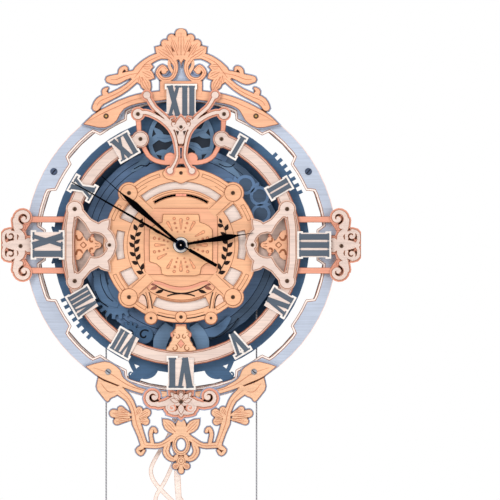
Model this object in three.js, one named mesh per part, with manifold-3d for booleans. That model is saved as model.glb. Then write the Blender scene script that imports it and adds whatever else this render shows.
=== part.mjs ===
// Pendulum wall clock of laser-cut plywood: a round head with a crown and a base ornament, a weight and a
// counterweight on one cord, and a vine pendulum. Millimetres, +Z up, the dial faces -Y, the wall is y = 0.
// Flat pieces are drawn face on, x to the right and y up from the hub, and stand at a depth before the wall.
import * as THREE from 'three';
import { mergeVertices } from 'three/addons/utils/BufferGeometryUtils.js';
import Module from 'manifold-3d';

const wasm = await Module();
wasm.setup();

// Driving dimensions of the frame
const FRAME_RADIUS = 128.3;
const FRAME_BAND = 10.3;
const FRAME_BOSS_STEP = 6.2;
const FRAME_BOSS_HALF_ANGLE = 6.5;
const FRAME_GAP = 12.6;
const INNER_RING_BAND = 17.4;
const REAR_INNER_BAND = 21;
const SPOKE_WIDTH = 20;
const INNER_BAR_WIDTH = 14;
const SCREEN_LAP = 3;
const PLATE_THICKNESS = 3;
const FRAME_PILLAR_INSET = 7.8;
const FRAME_PILLAR_RADIUS = 3.5;
const MOVEMENT_PILLAR_INSET = 9.4;
const MOVEMENT_PILLAR_RADIUS = 5;
const HANGER_INSET = 16.3;
const HANGER_HEAD_RADIUS = 4.5;
const HANGER_SLOT_WIDTH = 5;
const HANGER_MARGIN = 5;

// Driving dimensions of the dial and the ornament
const TRIM_THICKNESS = 2;
const ORNAMENT_THICKNESS = 3;
const BACKING_MARGIN = 0.9;
const SURROUND_STANDOFF = 3.5;
const NUMERAL_INSET = 12.5;
const NUMERAL_BAND = 9.4;
const NUMERAL_HEIGHT = 18.5;
const LARGE_NUMERAL_HEIGHT = 24.6;
const NUMERAL_BORDER = 1.6;
const NUMERAL_THICKNESS = 1.5;
const RING_GAP_ANGLE = 21;
const DIAL_GAP = 28.9;
const DIAL_BOSS_INSET = 3.75;
const DIAL_BOSS_RADIUS = 9.2;
const BRACKET_BOSS_ANGLE = 18.75;
const BRACKET_BOSS_INSET = 1;
const BRACKET_OFFSET = 6.5;

// Driving dimensions of the movement
const WHEEL_THICKNESS = 2.5;
const MOTION_THICKNESS = 2;
const LAYER_GAP = 1;
const RUNNING_GAP = 0.3;
const DRUM_INSET = 26;
const CORD_DIAMETER = 1.2;
const DRUM_FLANGE_HEIGHT = 8;
const DRUM_FRONT_INSET = 6;
const DRUM_FLANGE_THICKNESS = 1.5;
const DRUM_WIDTH = 6;
const GREAT_SHARE = 0.9;
const GREAT_TEETH = 60;
const FIRST_PINION_TEETH = 10;
const FIRST_WHEEL_TEETH = 16;
const IDLER_TEETH = 26;
const MINUTE_PINION_TEETH = 8;
const MINUTE_WHEEL_TEETH = 60;
const THIRD_PINION_TEETH = 6;
const THIRD_WHEEL_TEETH = 36;
const SECONDS_PINION_TEETH = 6;
const THIRD_DISTANCE = 36;
const CANNON_TEETH = 8;
const MOTION_WHEEL_TEETH = 24;
const MOTION_PINION_TEETH = 8;
const HOUR_WHEEL_TEETH = 32;
const MOTION_DISTANCE = 24;
const ESCAPE_TEETH = 54;
const ESCAPE_INSET = 30;
const PENDULUM_PIVOT_INSET = 5.4;
const PALLET_CLEARANCE = 4.5;
const SLEEVE_RADIUS = 8;
const SLEEVE_WALL = 2.6;
const SECONDS_ROD_RADIUS = 1.7;
const MINUTE_TUBE_RADIUS = 4;
const MINUTE_NOSE_RADIUS = 3.4;
const HOUR_TUBE_WALL = 1.4;
const PIVOT_RADIUS = 2;

// Driving dimensions of the hands, pendulum and weights
const HOUR_HAND_LENGTH = 60;
const MINUTE_HAND_LENGTH = 86;
const SECOND_HAND_LENGTH = 103;
const SECOND_HAND_TAIL = 34;
const HAND_THICKNESS = 1.2;
const HOUR_HAND_ANGLE = 80.5;
const MINUTE_HAND_ANGLE = 311;
const SECOND_HAND_ANGLE = 300;
const ROD_THICKNESS = 4;
const STRAND_WIDTH = 3;
const STEM_WIDTH = 4;
const BOB_RADIUS = 25;
const BOB_CENTRE_DROP = 410;
const BOB_TIP_RISE = 44;
const BOB_THICKNESS = 9;
const TENON_WIDTH = 5;
const TENON_LENGTH = 12;
const MAIN_WEIGHT_TOP_DROP = 228;
const MAIN_COLUMN_RADIUS = 16.5;
const MAIN_FLANGE_RADIUS = 20.5;
const MAIN_COLUMN_LENGTH = 96;
const COUNTERWEIGHT_TOP_DROP = 390;
const COUNTERWEIGHT_RADIUS = 6;
const COUNTERWEIGHT_LENGTH = 121;
const COUNTERWEIGHT_FRAME_WIDTH = 26;

// Sizes that follow from the frame, from its rim inwards
const FRAME_INNER = FRAME_RADIUS - FRAME_BAND;
const FRAME_PILLAR_CIRCLE = FRAME_RADIUS - FRAME_PILLAR_INSET;
const HANGER_HEIGHT = FRAME_RADIUS - HANGER_INSET;
const INNER_RING_RADIUS = FRAME_INNER - FRAME_GAP;
const INNER_RING_INNER = INNER_RING_RADIUS - INNER_RING_BAND;
const MOVEMENT_PILLAR_CIRCLE = INNER_RING_RADIUS - MOVEMENT_PILLAR_INSET;
const NUMERAL_CIRCLE = INNER_RING_RADIUS - NUMERAL_INSET;
const DIAL_RADIUS = NUMERAL_CIRCLE - DIAL_GAP;
const DIAL_BOSS_PLACE = (DIAL_RADIUS - DIAL_BOSS_INSET) * Math.SQRT1_2;
const BRACKET_HUB = DIAL_RADIUS + BRACKET_OFFSET;
const bracketBoss = polar(NUMERAL_CIRCLE - BRACKET_BOSS_INSET, BRACKET_BOSS_ANGLE, new THREE.Vector2());
const BRACKET_REACH = bracketBoss.x;
const BRACKET_BOSS_HEIGHT = bracketBoss.y;
const CORD_RADIUS_ON_DRUM = INNER_RING_INNER - DRUM_INSET;
const DRUM_FLANGE_RADIUS = CORD_RADIUS_ON_DRUM + DRUM_FLANGE_HEIGHT;
const DRUM_FRONT_RADIUS = INNER_RING_INNER - DRUM_FRONT_INSET;
const GREAT_MODULE = 2 * GREAT_SHARE * INNER_RING_INNER / GREAT_TEETH;
const PENDULUM_PIVOT_DROP = INNER_RING_RADIUS - PENDULUM_PIVOT_INSET;
const ESCAPE_RADIUS = PENDULUM_PIVOT_DROP - ESCAPE_INSET;

// The crown, base and side scrolls are drawn for this clock's frame and grow with it, and so do the numerals
// and the bosses between them with the numeral ring
const ORNAMENT_SCALE = FRAME_RADIUS / 128.3;
const NUMERAL_SCALE = NUMERAL_CIRCLE / 92.9;

// Depths in front of the wall, one layer after another
const REAR = [0, PLATE_THICKNESS];
const ESCAPE = layerAfter(REAR, WHEEL_THICKNESS);
const THIRD = layerAfter(ESCAPE, WHEEL_THICKNESS);
const MINUTE = layerAfter(THIRD, WHEEL_THICKNESS);
const FIRST = layerAfter(MINUTE, WHEEL_THICKNESS);
const MIDDLE = layerAfter(FIRST, PLATE_THICKNESS);
const GREAT = layerAfter(MIDDLE, PLATE_THICKNESS);
const DRUM = layerAfter(GREAT, DRUM_WIDTH + 2 * DRUM_FLANGE_THICKNESS);
const INNER = layerAfter(DRUM, PLATE_THICKNESS);
const FRONT = layerOn(INNER, PLATE_THICKNESS);
const CROWN_BACKING = layerOn(FRONT, TRIM_THICKNESS);
const CROWN = layerOn(CROWN_BACKING, ORNAMENT_THICKNESS);
const BASE = layerOn(FRONT, ORNAMENT_THICKNESS);
const BASE_SCROLL = layerOn(BASE, TRIM_THICKNESS);
const SIDE = [FRONT[1] + SURROUND_STANDOFF, FRONT[1] + SURROUND_STANDOFF + TRIM_THICKNESS];
const SURROUND = layerOn(SIDE, TRIM_THICKNESS);
const RING = layerOn(SURROUND, TRIM_THICKNESS);
const RING_TRIM = layerOn(RING, NUMERAL_THICKNESS);
const BRACKET = layerOn(RING, TRIM_THICKNESS);
const DIAL_FRAME = [RING[0] - TRIM_THICKNESS, RING[0]];
const DIAL_BASE = [DIAL_FRAME[0] - TRIM_THICKNESS, DIAL_FRAME[0]];
const CANNON = layerAfter(INNER, MOTION_THICKNESS, LAYER_GAP / 2);
const HOUR_WORK = layerAfter(CANNON, MOTION_THICKNESS, LAYER_GAP / 2);
const HOUR_HAND = layerAfter(BRACKET, HAND_THICKNESS);
const MINUTE_HAND = layerAfter(HOUR_HAND, HAND_THICKNESS);
const SECOND_HAND = layerAfter(MINUTE_HAND, HAND_THICKNESS / 2);
const CORD_DEPTH = (DRUM[0] + DRUM[1]) / 2;
const PENDULUM = [CORD_DEPTH - ROD_THICKNESS / 2, CORD_DEPTH + ROD_THICKNESS / 2];

// Places of the arbors, from the tooth counts
const firstDistance = GREAT_MODULE * (GREAT_TEETH + FIRST_PINION_TEETH) / 2;
const idlerModule = firstDistance * 2 / (FIRST_WHEEL_TEETH + 2 * IDLER_TEETH + MINUTE_PINION_TEETH);
const idlerDistance = idlerModule * (IDLER_TEETH + MINUTE_PINION_TEETH) / 2;
const minuteModule = THIRD_DISTANCE * 2 / (MINUTE_WHEEL_TEETH + THIRD_PINION_TEETH);
const thirdModule = THIRD_DISTANCE * 2 / (THIRD_WHEEL_TEETH + SECONDS_PINION_TEETH);
const cannonModule = MOTION_DISTANCE * 2 / (CANNON_TEETH + MOTION_WHEEL_TEETH);
const hourModule = MOTION_DISTANCE * 2 / (MOTION_PINION_TEETH + HOUR_WHEEL_TEETH);
const HUB = new THREE.Vector2(0, 0);
const FIRST_PLACE = new THREE.Vector2(-firstDistance, 0);
const IDLER_PLACE = new THREE.Vector2(-idlerDistance, 0);
const THIRD_PLACE = new THREE.Vector2(0, THIRD_DISTANCE);
const MOTION_PLACE = new THREE.Vector2(0, -MOTION_DISTANCE);
const PALLET_PLACE = new THREE.Vector2(0, -PENDULUM_PIVOT_DROP);

// Colours of the painted and bare plywood
const lavender = paint(0xc8d2e6);
const darkBlue = paint(0x3f5f86);
const midBlue = paint(0x587aa2);
const cream = paint(0xfae4d7);
const salmon = paint(0xf0a58c);
const orange = paint(0xfab282);
const tan = paint(0xf5be8c);
const white = paint(0xf7f1ec);
const bobBlue = paint(0x78a0cd);
const column = paint(0xdba07c);
const black = paint(0x18181c);
const brass = new THREE.MeshStandardMaterial({ color: 0xb08d4f, roughness: 0.35, metalness: 0.9 });
const cordGrey = paint(0x4a4a4e);

function paint(color) {
  return new THREE.MeshStandardMaterial({ color, roughness: 0.7, metalness: 0 });
}

function layerAfter(layer, thickness, gap = LAYER_GAP) {
  return [layer[1] + gap, layer[1] + gap + thickness];
}

function layerOn(layer, thickness) {
  return [layer[1], layer[1] + thickness];
}

// Outlines: arrays of points, counterclockwise or not
function v(x, y) {
  return new THREE.Vector2(x, y);
}

function polar(radius, degrees, centre = HUB) {
  const angle = THREE.MathUtils.degToRad(degrees);
  return v(centre.x + radius * Math.cos(angle), centre.y + radius * Math.sin(angle));
}

function arc(radius, from, to, steps, centre = HUB) {
  return Array.from({ length: steps + 1 }, (_, i) => polar(radius, from + (to - from) * i / steps, centre));
}

function disc(x, y, radius, sides = 16) {
  return arc(radius, 0, 360 - 360 / sides, sides - 1, v(x, y));
}

function box(x0, y0, x1, y1) {
  return [v(x0, y0), v(x1, y0), v(x1, y1), v(x0, y1)];
}

function bar(from, to, width) {
  const side = to.clone().sub(from).normalize().multiplyScalar(width / 2);
  const across = v(-side.y, side.x);
  return [
    from.clone().add(across), from.clone().sub(across), to.clone().sub(across), to.clone().add(across),
  ];
}

function mirrored(outline) {
  return outline.map((p) => v(-p.x, p.y));
}

function moved(outline, dx, dy) {
  return outline.map((p) => v(p.x + dx, p.y + dy));
}

function grown(outline) {
  return outline.map((p) => p.clone().multiplyScalar(ORNAMENT_SCALE));
}

function turned(outline, degrees, centre = HUB) {
  const angle = THREE.MathUtils.degToRad(degrees);
  return outline.map((p) => p.clone().rotateAround(centre, angle));
}

// A band of changing width along a smooth curve, with round ends. Inside a tight bend the edge stays short of
// the centre of the bend, so that it never folds over itself.
const BEND_SHARE = 0.85;
function ribbon(points, widths, steps = 14) {
  const curve = new THREE.SplineCurve(points.map(([x, y]) => v(x, y)));
  const left = [];
  const right = [];
  const probe = 0.5 / steps;
  for (let i = 0; i <= steps; i += 1) {
    const t = i / steps;
    const along = t * (widths.length - 1);
    const k = Math.min(Math.floor(along), widths.length - 2);
    const half = THREE.MathUtils.lerp(widths[k], widths[k + 1], along - k) / 2;
    const [before, after] = [Math.max(t - probe, 0), Math.min(t + probe, 1)];
    const [heading, leaving] = [curve.getTangent(before), curve.getTangent(after)];
    const bend = Math.atan2(heading.cross(leaving), heading.dot(leaving));
    const run = curve.getPoint(before).distanceTo(curve.getPoint(after));
    const room = BEND_SHARE * run / Math.max(Math.abs(bend), 1e-6);
    const toLeft = bend > 0 ? Math.min(half, room) : half;
    const toRight = bend < 0 ? Math.min(half, room) : half;
    const tangent = curve.getTangent(t);
    const p = curve.getPoint(t);
    left.push(v(p.x - tangent.y * toLeft, p.y + tangent.x * toLeft));
    right.push(v(p.x + tangent.y * toRight, p.y - tangent.x * toRight));
  }
  const tip = roundEnd(left.at(-1), right.at(-1));
  const tail = roundEnd(right[0], left[0]);
  return [...left, ...tip, ...right.reverse(), ...tail];
}

function roundEnd(from, to) {
  const centre = from.clone().add(to).multiplyScalar(0.5);
  return [-45, -90, -135].map((turn) => from.clone().rotateAround(centre, THREE.MathUtils.degToRad(turn)));
}

// A spiral band that winds in to a round eye
function volute(x, y, radius, startDegrees, turnDegrees, widths, steps = 20) {
  const eye = widths.at(-1) * 0.95;
  const inner = widths.at(-1) * 0.6;
  const points = Array.from({ length: 13 }, (_, i) => {
    const t = i / 12;
    const p = polar(THREE.MathUtils.lerp(radius, inner, t), startDegrees + turnDegrees * t, v(x, y));
    return [p.x, p.y];
  });
  return [ribbon(points, widths, steps), disc(x, y, eye, 10)];
}

// A leaf or petal from its root to its tip, widest part way along
function petal(root, tip, width, steps = 6, fullness = 0.62) {
  const [x0, y0] = root;
  const axis = v(tip[0] - x0, tip[1] - y0);
  const length = axis.length();
  axis.normalize();
  const side = v(-axis.y, axis.x);
  const edge = (t) => width / 2 * Math.sin(Math.PI * t ** (Math.log(0.5) / Math.log(fullness)));
  const place = (t, w) => v(x0 + axis.x * length * t + side.x * w, y0 + axis.y * length * t + side.y * w);
  const up = Array.from({ length: steps - 1 }, (_, i) => place((i + 1) / steps, edge((i + 1) / steps)));
  const down = Array.from({ length: steps - 1 }, (_, i) => {
    const t = (steps - 1 - i) / steps;
    return place(t, -edge(t));
  });
  return [place(0, 0), ...up, place(1, 0), ...down];
}

// A lobe that widens from its root to a round end
function lobe(root, tip, width) {
  const from = v(...root);
  const to = v(...tip);
  const angle = THREE.MathUtils.radToDeg(Math.atan2(to.y - from.y, to.x - from.x));
  const centre = polar(to.distanceTo(from) - width / 2, angle, from);
  return [from, ...arc(width / 2, angle - 100, angle + 100, 7, centre)];
}

// A smooth closed outline through two edges
function between(top, bottom, steps = 14) {
  const edge = (points) => new THREE.SplineCurve(points.map(([x, y]) => v(x, y))).getPoints(steps);
  return [...edge(top), ...edge(bottom).reverse()].filter((p, i, all) => p.distanceTo(all.at(i - 1)) > 1e-3);
}

// Solids
function solid(geometry) {
  geometry.deleteAttribute('normal');
  geometry.deleteAttribute('uv');
  const merged = mergeVertices(geometry, 1e-4);
  return new wasm.Manifold(new wasm.Mesh({
    numProp: 3,
    vertProperties: merged.attributes.position.array,
    triVerts: Uint32Array.from(merged.index.array),
  }));
}

// A flat solid. Its edges are numbered loop by loop, so that a window may come very near the outer edge.
function slab(outline, [back, front], holes = []) {
  const loops = [facing(outline, true), ...holes.map((hole) => facing(hole, false))];
  const points = loops.flat();
  const count = points.length;
  const triangles = [];
  for (const [a, b, c] of THREE.ShapeUtils.triangulateShape(loops[0], loops.slice(1))) {
    triangles.push(a, b, c, a + count, c + count, b + count);
  }
  let first = 0;
  for (const loop of loops) {
    loop.forEach((_, i) => {
      const a = first + i;
      const b = first + (i + 1) % loop.length;
      triangles.push(a, a + count, b + count, a, b + count, b);
    });
    first += loop.length;
  }
  const atDepth = (depth) => points.flatMap((p) => [p.x, -depth, p.y]);
  return new wasm.Manifold(new wasm.Mesh({
    numProp: 3,
    vertProperties: Float32Array.from([...atDepth(front), ...atDepth(back)]),
    triVerts: Uint32Array.from(triangles),
  }));
}

function facing(loop, counterclockwise) {
  return THREE.ShapeUtils.isClockWise(loop) === counterclockwise ? [...loop].reverse() : loop;
}

function joined(solids) {
  return solids.reduce((whole, next) => whole.add(next));
}

function cut(whole, outlines, [back, front]) {
  const through = [back - PLATE_THICKNESS, front + PLATE_THICKNESS];
  return outlines.reduce((rest, outline) => rest.subtract(slab(outline, through)), whole);
}

// A flat piece: its outlines joined, its windows cut, and the result drawn again with fewer points
function fretwork(outlines, layer, windows = [], smallest = SMALLEST_WINDOW) {
  const whole = joined(outlines.map((outline) => slab(outline, layer)));
  return redrawn(cut(whole, windows, layer), layer, smallest);
}

function redrawn(whole, layer, smallest) {
  const loops = frontLoops(whole, layer[1]).map(withoutSpares);
  loops.sort((a, b) => THREE.ShapeUtils.area(b) - THREE.ShapeUtils.area(a));
  return slab(loops[0], layer, loops.filter((loop) => -THREE.ShapeUtils.area(loop) > smallest));
}

const SMALLEST_WINDOW = 0.5;

// The closed loops of edges round the front face of a flat solid
function frontLoops(whole, front) {
  const { vertProperties, triVerts } = whole.getMesh();
  const onFront = (i) => Math.abs(vertProperties[3 * i + 1] + front) < 1e-3;
  const next = new Map();
  const key = (a, b) => `${a} ${b}`;
  const edges = new Map();
  for (let t = 0; t < triVerts.length; t += 3) {
    const corners = [triVerts[t], triVerts[t + 1], triVerts[t + 2]];
    if (!corners.every(onFront)) continue;
    corners.forEach((a, k) => {
      const b = corners[(k + 1) % 3];
      if (!edges.delete(key(b, a))) edges.set(key(a, b), [a, b]);
    });
  }
  for (const [a, b] of edges.values()) next.set(a, [...(next.get(a) ?? []), b]);
  const loops = [];
  for (const start of next.keys()) {
    const trail = [];
    let i = start;
    while (next.get(i)?.length) {
      trail.push(i);
      i = next.get(i).pop();
      if (trail.includes(i)) loops.push(trail.splice(trail.indexOf(i)));
    }
  }
  return loops.map((loop) => loop.map((i) => v(vertProperties[3 * i], vertProperties[3 * i + 2])));
}

// The loop without points that lie near the line between their neighbours or on top of one another. Small
// loops, such as the holes for arbors, keep a closer shape.
const SPARE_OFFSET = 0.15;
const SPARE_SHARE = 0.008;
const SHORTEST_EDGE = 0.4;
function withoutSpares(loop) {
  const kept = [];
  const spare = Math.min(SPARE_OFFSET, SPARE_SHARE * Math.sqrt(Math.abs(THREE.ShapeUtils.area(loop))));
  loop.forEach((p, i) => {
    const before = kept.at(-1) ?? loop.at(-1);
    const after = loop[(i + 1) % loop.length];
    const chord = after.clone().sub(before);
    const offset = Math.abs(chord.cross(p.clone().sub(before))) / Math.max(chord.length(), 1e-9);
    if (p.distanceTo(before) > SHORTEST_EDGE && offset > spare) kept.push(p);
  });
  return kept;
}

// A round piece on an axis square to the wall: [radius, depth] pairs from back to front
function turnedPiece(profile, place, sides = 20) {
  const geometry = new THREE.LatheGeometry(profile.map(([radius, depth]) => v(radius, depth)), sides);
  geometry.rotateX(Math.PI);
  geometry.translate(place.x, 0, place.y);
  return solid(geometry);
}

function rod(radius, [back, front], place, sides = 16) {
  return turnedPiece([[0, back], [radius, back], [radius, front], [0, front]], place, sides);
}

// A round piece on an upright axis: [radius, height] pairs from the bottom up
function upright(profile, sides = 24) {
  const geometry = new THREE.LatheGeometry(profile.map(([radius, height]) => v(radius, height)), sides);
  geometry.rotateX(Math.PI / 2);
  return solid(geometry);
}

const clock = new THREE.Group();
clock.position.z = -HANGER_HEIGHT;

function add(name, whole, material, place = [0, 0, 0]) {
  const { vertProperties, triVerts } = whole.getMesh();
  const geometry = new THREE.BufferGeometry();
  geometry.setAttribute('position', new THREE.BufferAttribute(Float32Array.from(vertProperties), 3));
  geometry.setIndex(new THREE.BufferAttribute(Uint32Array.from(triVerts), 1));
  geometry.computeVertexNormals();
  const mesh = new THREE.Mesh(geometry, material);
  mesh.name = name;
  mesh.position.set(...place);
  clock.add(mesh);
}

// Frame: the rear frame on the wall, the middle plate, the inner ring and the front frame
const RING_SIDES = 64;
const FRAME_PILLAR_ANGLES = [30, 150, 210, 330];
const MOVEMENT_PILLAR_ANGLES = [40, 140, 220, 320];
const BOSS_ANGLES = [0, 30, 60, 120, 150, 180, 210, 240, 300, 330];

function pivotHole(place, radius = PIVOT_RADIUS) {
  return disc(place.x, place.y, radius + RUNNING_GAP, 12);
}

function rearFrame() {
  const slot = HANGER_SLOT_WIDTH / 2;
  const slotEnd = HANGER_HEIGHT - HANGER_MARGIN - slot;
  const head = slotEnd - HANGER_HEAD_RADIUS * 2;
  const keyhole = [
    disc(0, head, HANGER_HEAD_RADIUS), box(-slot, head, slot, slotEnd), disc(0, slotEnd, slot),
  ];
  const windows = [
    ...spokeWindows(4, FRAME_INNER, INNER_RING_RADIUS, SPOKE_WIDTH, 0, 10),
    ...spokeWindows(4, INNER_RING_RADIUS - REAR_INNER_BAND, SPOKE_WIDTH * 0.8, SPOKE_WIDTH, 0, 8),
  ];
  const holes = [pivotHole(HUB, SECONDS_ROD_RADIUS), pivotHole(FIRST_PLACE), pivotHole(PALLET_PLACE)];
  return fretwork([disc(0, 0, FRAME_RADIUS, RING_SIDES - 8)], REAR, [...windows, ...keyhole, ...holes]);
}

function frontFrame() {
  const inner = [];
  const bossInner = FRAME_INNER - FRAME_BOSS_STEP;
  const ease = [[-1.5, 0.05], [-0.7, 0.5], [0, 0.95]];
  BOSS_ANGLES.forEach((angle, i) => {
    const next = BOSS_ANGLES[(i + 1) % BOSS_ANGLES.length] + (i + 1 < BOSS_ANGLES.length ? 0 : 360);
    const half = FRAME_BOSS_HALF_ANGLE;
    const step = (share) => FRAME_INNER - FRAME_BOSS_STEP * share;
    inner.push(...ease.map(([offset, share]) => polar(step(share), angle - half + offset)));
    inner.push(...arc(bossInner, angle - half + 1, angle + half - 1, 3));
    inner.push(...ease.map(([offset, share]) => polar(step(share), angle + half - offset)).reverse());
    const from = angle + half + 3;
    const to = next - half - 3;
    inner.push(...arc(FRAME_INNER, from, to, Math.ceil((to - from) / 6)));
  });
  return slab(disc(0, 0, FRAME_RADIUS, RING_SIDES), FRONT, [inner]);
}

function innerRing() {
  const teeth = [];
  const toothAngle = 3.3;
  const toothHeight = 3.6;
  for (const start of [24, 205]) {
    for (let i = 0; i < 7; i += 1) {
      const at = start + i * toothAngle;
      teeth.push(bar(polar(INNER_RING_RADIUS - 2, at), polar(INNER_RING_RADIUS + toothHeight, at), 3));
    }
  }
  const armReach = FRAME_INNER + FRAME_BAND / 2;
  const top = sector(armReach, INNER_RING_RADIUS - 3, 71, 109, 8);
  const arms = [256, 284].map((angle) => {
    const lean = Math.sign(270 - angle) * -5;
    const [a, b, c] = [
      polar(INNER_RING_RADIUS - 3, angle), polar((INNER_RING_RADIUS + armReach) / 2, angle + lean),
      polar(armReach, angle + lean),
    ];
    return ribbon([[a.x, a.y], [b.x, b.y], [c.x, c.y]], [11, 9, 12], 6);
  });
  const windows = spokeWindows(4, INNER_RING_INNER, SLEEVE_RADIUS + 6, INNER_BAR_WIDTH, 0, 8);
  const pivots = [FIRST_PLACE, MOTION_PLACE, PALLET_PLACE];
  const holes = [pivotHole(HUB, MINUTE_TUBE_RADIUS), ...pivots.map((place) => pivotHole(place))];
  const outer = disc(0, 0, INNER_RING_RADIUS, RING_SIDES);
  return fretwork([outer, ...teeth, ...arms, top], INNER, [...windows, ...holes]);
}

function middlePlate() {
  const pads = MOVEMENT_PILLAR_ANGLES.map((angle) => {
    const p = polar(MOVEMENT_PILLAR_CIRCLE, angle);
    return disc(p.x, p.y, MOVEMENT_PILLAR_RADIUS + 2, 10);
  });
  const studs = [THIRD_PLACE, IDLER_PLACE];
  const necks = MOVEMENT_PILLAR_ANGLES.map((angle) => {
    const p = polar(MOVEMENT_PILLAR_CIRCLE, angle);
    return disc(p.x, p.y, MOVEMENT_PILLAR_RADIUS - 2 + RUNNING_GAP, 10);
  });
  const bore = disc(0, 0, SLEEVE_RADIUS - SLEEVE_WALL, 16);
  const screen = disc(0, 0, INNER_RING_INNER + SCREEN_LAP, 48);
  const firstRoom = pivotHole(FIRST_PLACE, PIVOT_RADIUS + 2);
  const plate = fretwork([screen, ...pads], MIDDLE,
    [...necks, ...studs.map((place) => pivotHole(place)), firstRoom, bore]);
  return plate.add(slab(disc(0, 0, SLEEVE_RADIUS, 16), [MIDDLE[0], INNER[0]], [bore]));
}

function framePillar(angle) {
  return rod(FRAME_PILLAR_RADIUS, [REAR[1], FRONT[0]], polar(FRAME_PILLAR_CIRCLE, angle), 12);
}

function movementPillar(angle) {
  const neck = MOVEMENT_PILLAR_RADIUS - 2;
  const wide = MOVEMENT_PILLAR_RADIUS;
  return turnedPiece([
    [0, REAR[1]], [wide, REAR[1]], [wide, MIDDLE[0]], [neck, MIDDLE[0]],
    [neck, MIDDLE[1]], [wide, MIDDLE[1]], [wide, INNER[0]], [0, INNER[0]],
  ], polar(MOVEMENT_PILLAR_CIRCLE, angle), 10);
}

add('rear_frame', rearFrame(), darkBlue);
add('middle_plate', middlePlate(), darkBlue);
add('inner_ring', innerRing(), darkBlue);
add('front_frame', frontFrame(), lavender);
FRAME_PILLAR_ANGLES.forEach((angle, i) => add(`frame_pillar_${i + 1}`, framePillar(angle), brass));
MOVEMENT_PILLAR_ANGLES.forEach((angle, i) => add(`movement_pillar_${i + 1}`, movementPillar(angle), brass));

// Crown: the left half, drawn from the top of the front frame
function crownFoot(inset) {
  return between(
    [[-80.4, -29.1], [-72.6, -21.6 - inset], [-61.5, -14.8 - inset], [-49.2, -8.9 - inset],
      [-31.2, -3.6 - inset], [0, -inset]],
    [[-80.4, -29.1], [-64, -32.2 + inset], [-54, -27.5 + inset], [-50, -20.9], [-45.1, -15.6], [-32.8, -11.8],
      [0, -7.6]],
    16,
  );
}

function crownHalf() {
  const fan = [[[0, 20], [-9, 44.8], 7], [[-2, 20], [-15, 40], 7]];
  const leaf = [
    [[-36, 18], [-22.5, 18], 8], [[-36, 16], [-21.5, 8.5], 9], [[-35, 15], [-25.5, -3], 9],
    [[-35, 14], [-32.6, 3], 7],
  ];
  return [
    ...fan.map(([root, tip, width]) => lobe(root, tip, width)),
    petal([-2, 21], [-21.5, 34.3], 9.5, 7, 0.72),
    ...leaf.map(([root, tip, width]) => petal(root, tip, width)),
    ribbon([[-4, 27], [-17, 27], [-27.5, 22], [-34, 14.5], [-38, 9]], [8, 5.4, 6.5, 10, 7], 12),
    ribbon([[-32, 13.5], [-44, 11], [-53, 7.6], [-59, 7.6]], [5, 6.4, 8.4, 6.2], 10),
    ribbon([[-50, 11], [-49.2, 15.4], [-46, 17.2], [-44.4, 15.4]], [4, 4, 3.6, 3], 10),
    ribbon([[-36, 8.5], [-46, 0], [-56, -5.6], [-66, -10], [-70, -15.5]], [5, 5.4, 6, 7.6, 6.4], 14),
    ribbon([[-61, -6.5], [-63, -2], [-60.4, 0.4]], [6, 4.4, 2.2], 8),
    crownFoot(0),
    ribbon(
      [[-8.5, 26], [-4.2, 18], [-7, 9.4], [-14.4, 7.6], [-19.2, 13], [-15.4, 18.4], [-11.4, 15.4]],
      [5.5, 4, 3.6, 3.8, 3.8, 3.2, 2.6], 26,
    ),
    disc(-14, 14.4, 2.6, 10),
  ];
}

function crownOutlines() {
  const half = [...crownHalf(), lobe([0, 18], [0, 49.8], 10), box(-17.4, -7, 0, 6.4)];
  return [...half, ...half.map(mirrored)].map(onTop);
}

function onTop(outline) {
  return moved(grown(outline), 0, FRAME_RADIUS);
}

function crownBacking() {
  const half = [crownFoot(BACKING_MARGIN), box(-16.6, -8, 1, 6), box(-8, 0, 1, 26)];
  return fretwork([...half, ...half.map(mirrored)].map(onTop), CROWN_BACKING);
}

add('crown_backing', crownBacking(), lavender);
add('crown', fretwork(crownOutlines(), CROWN), orange);

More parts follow.
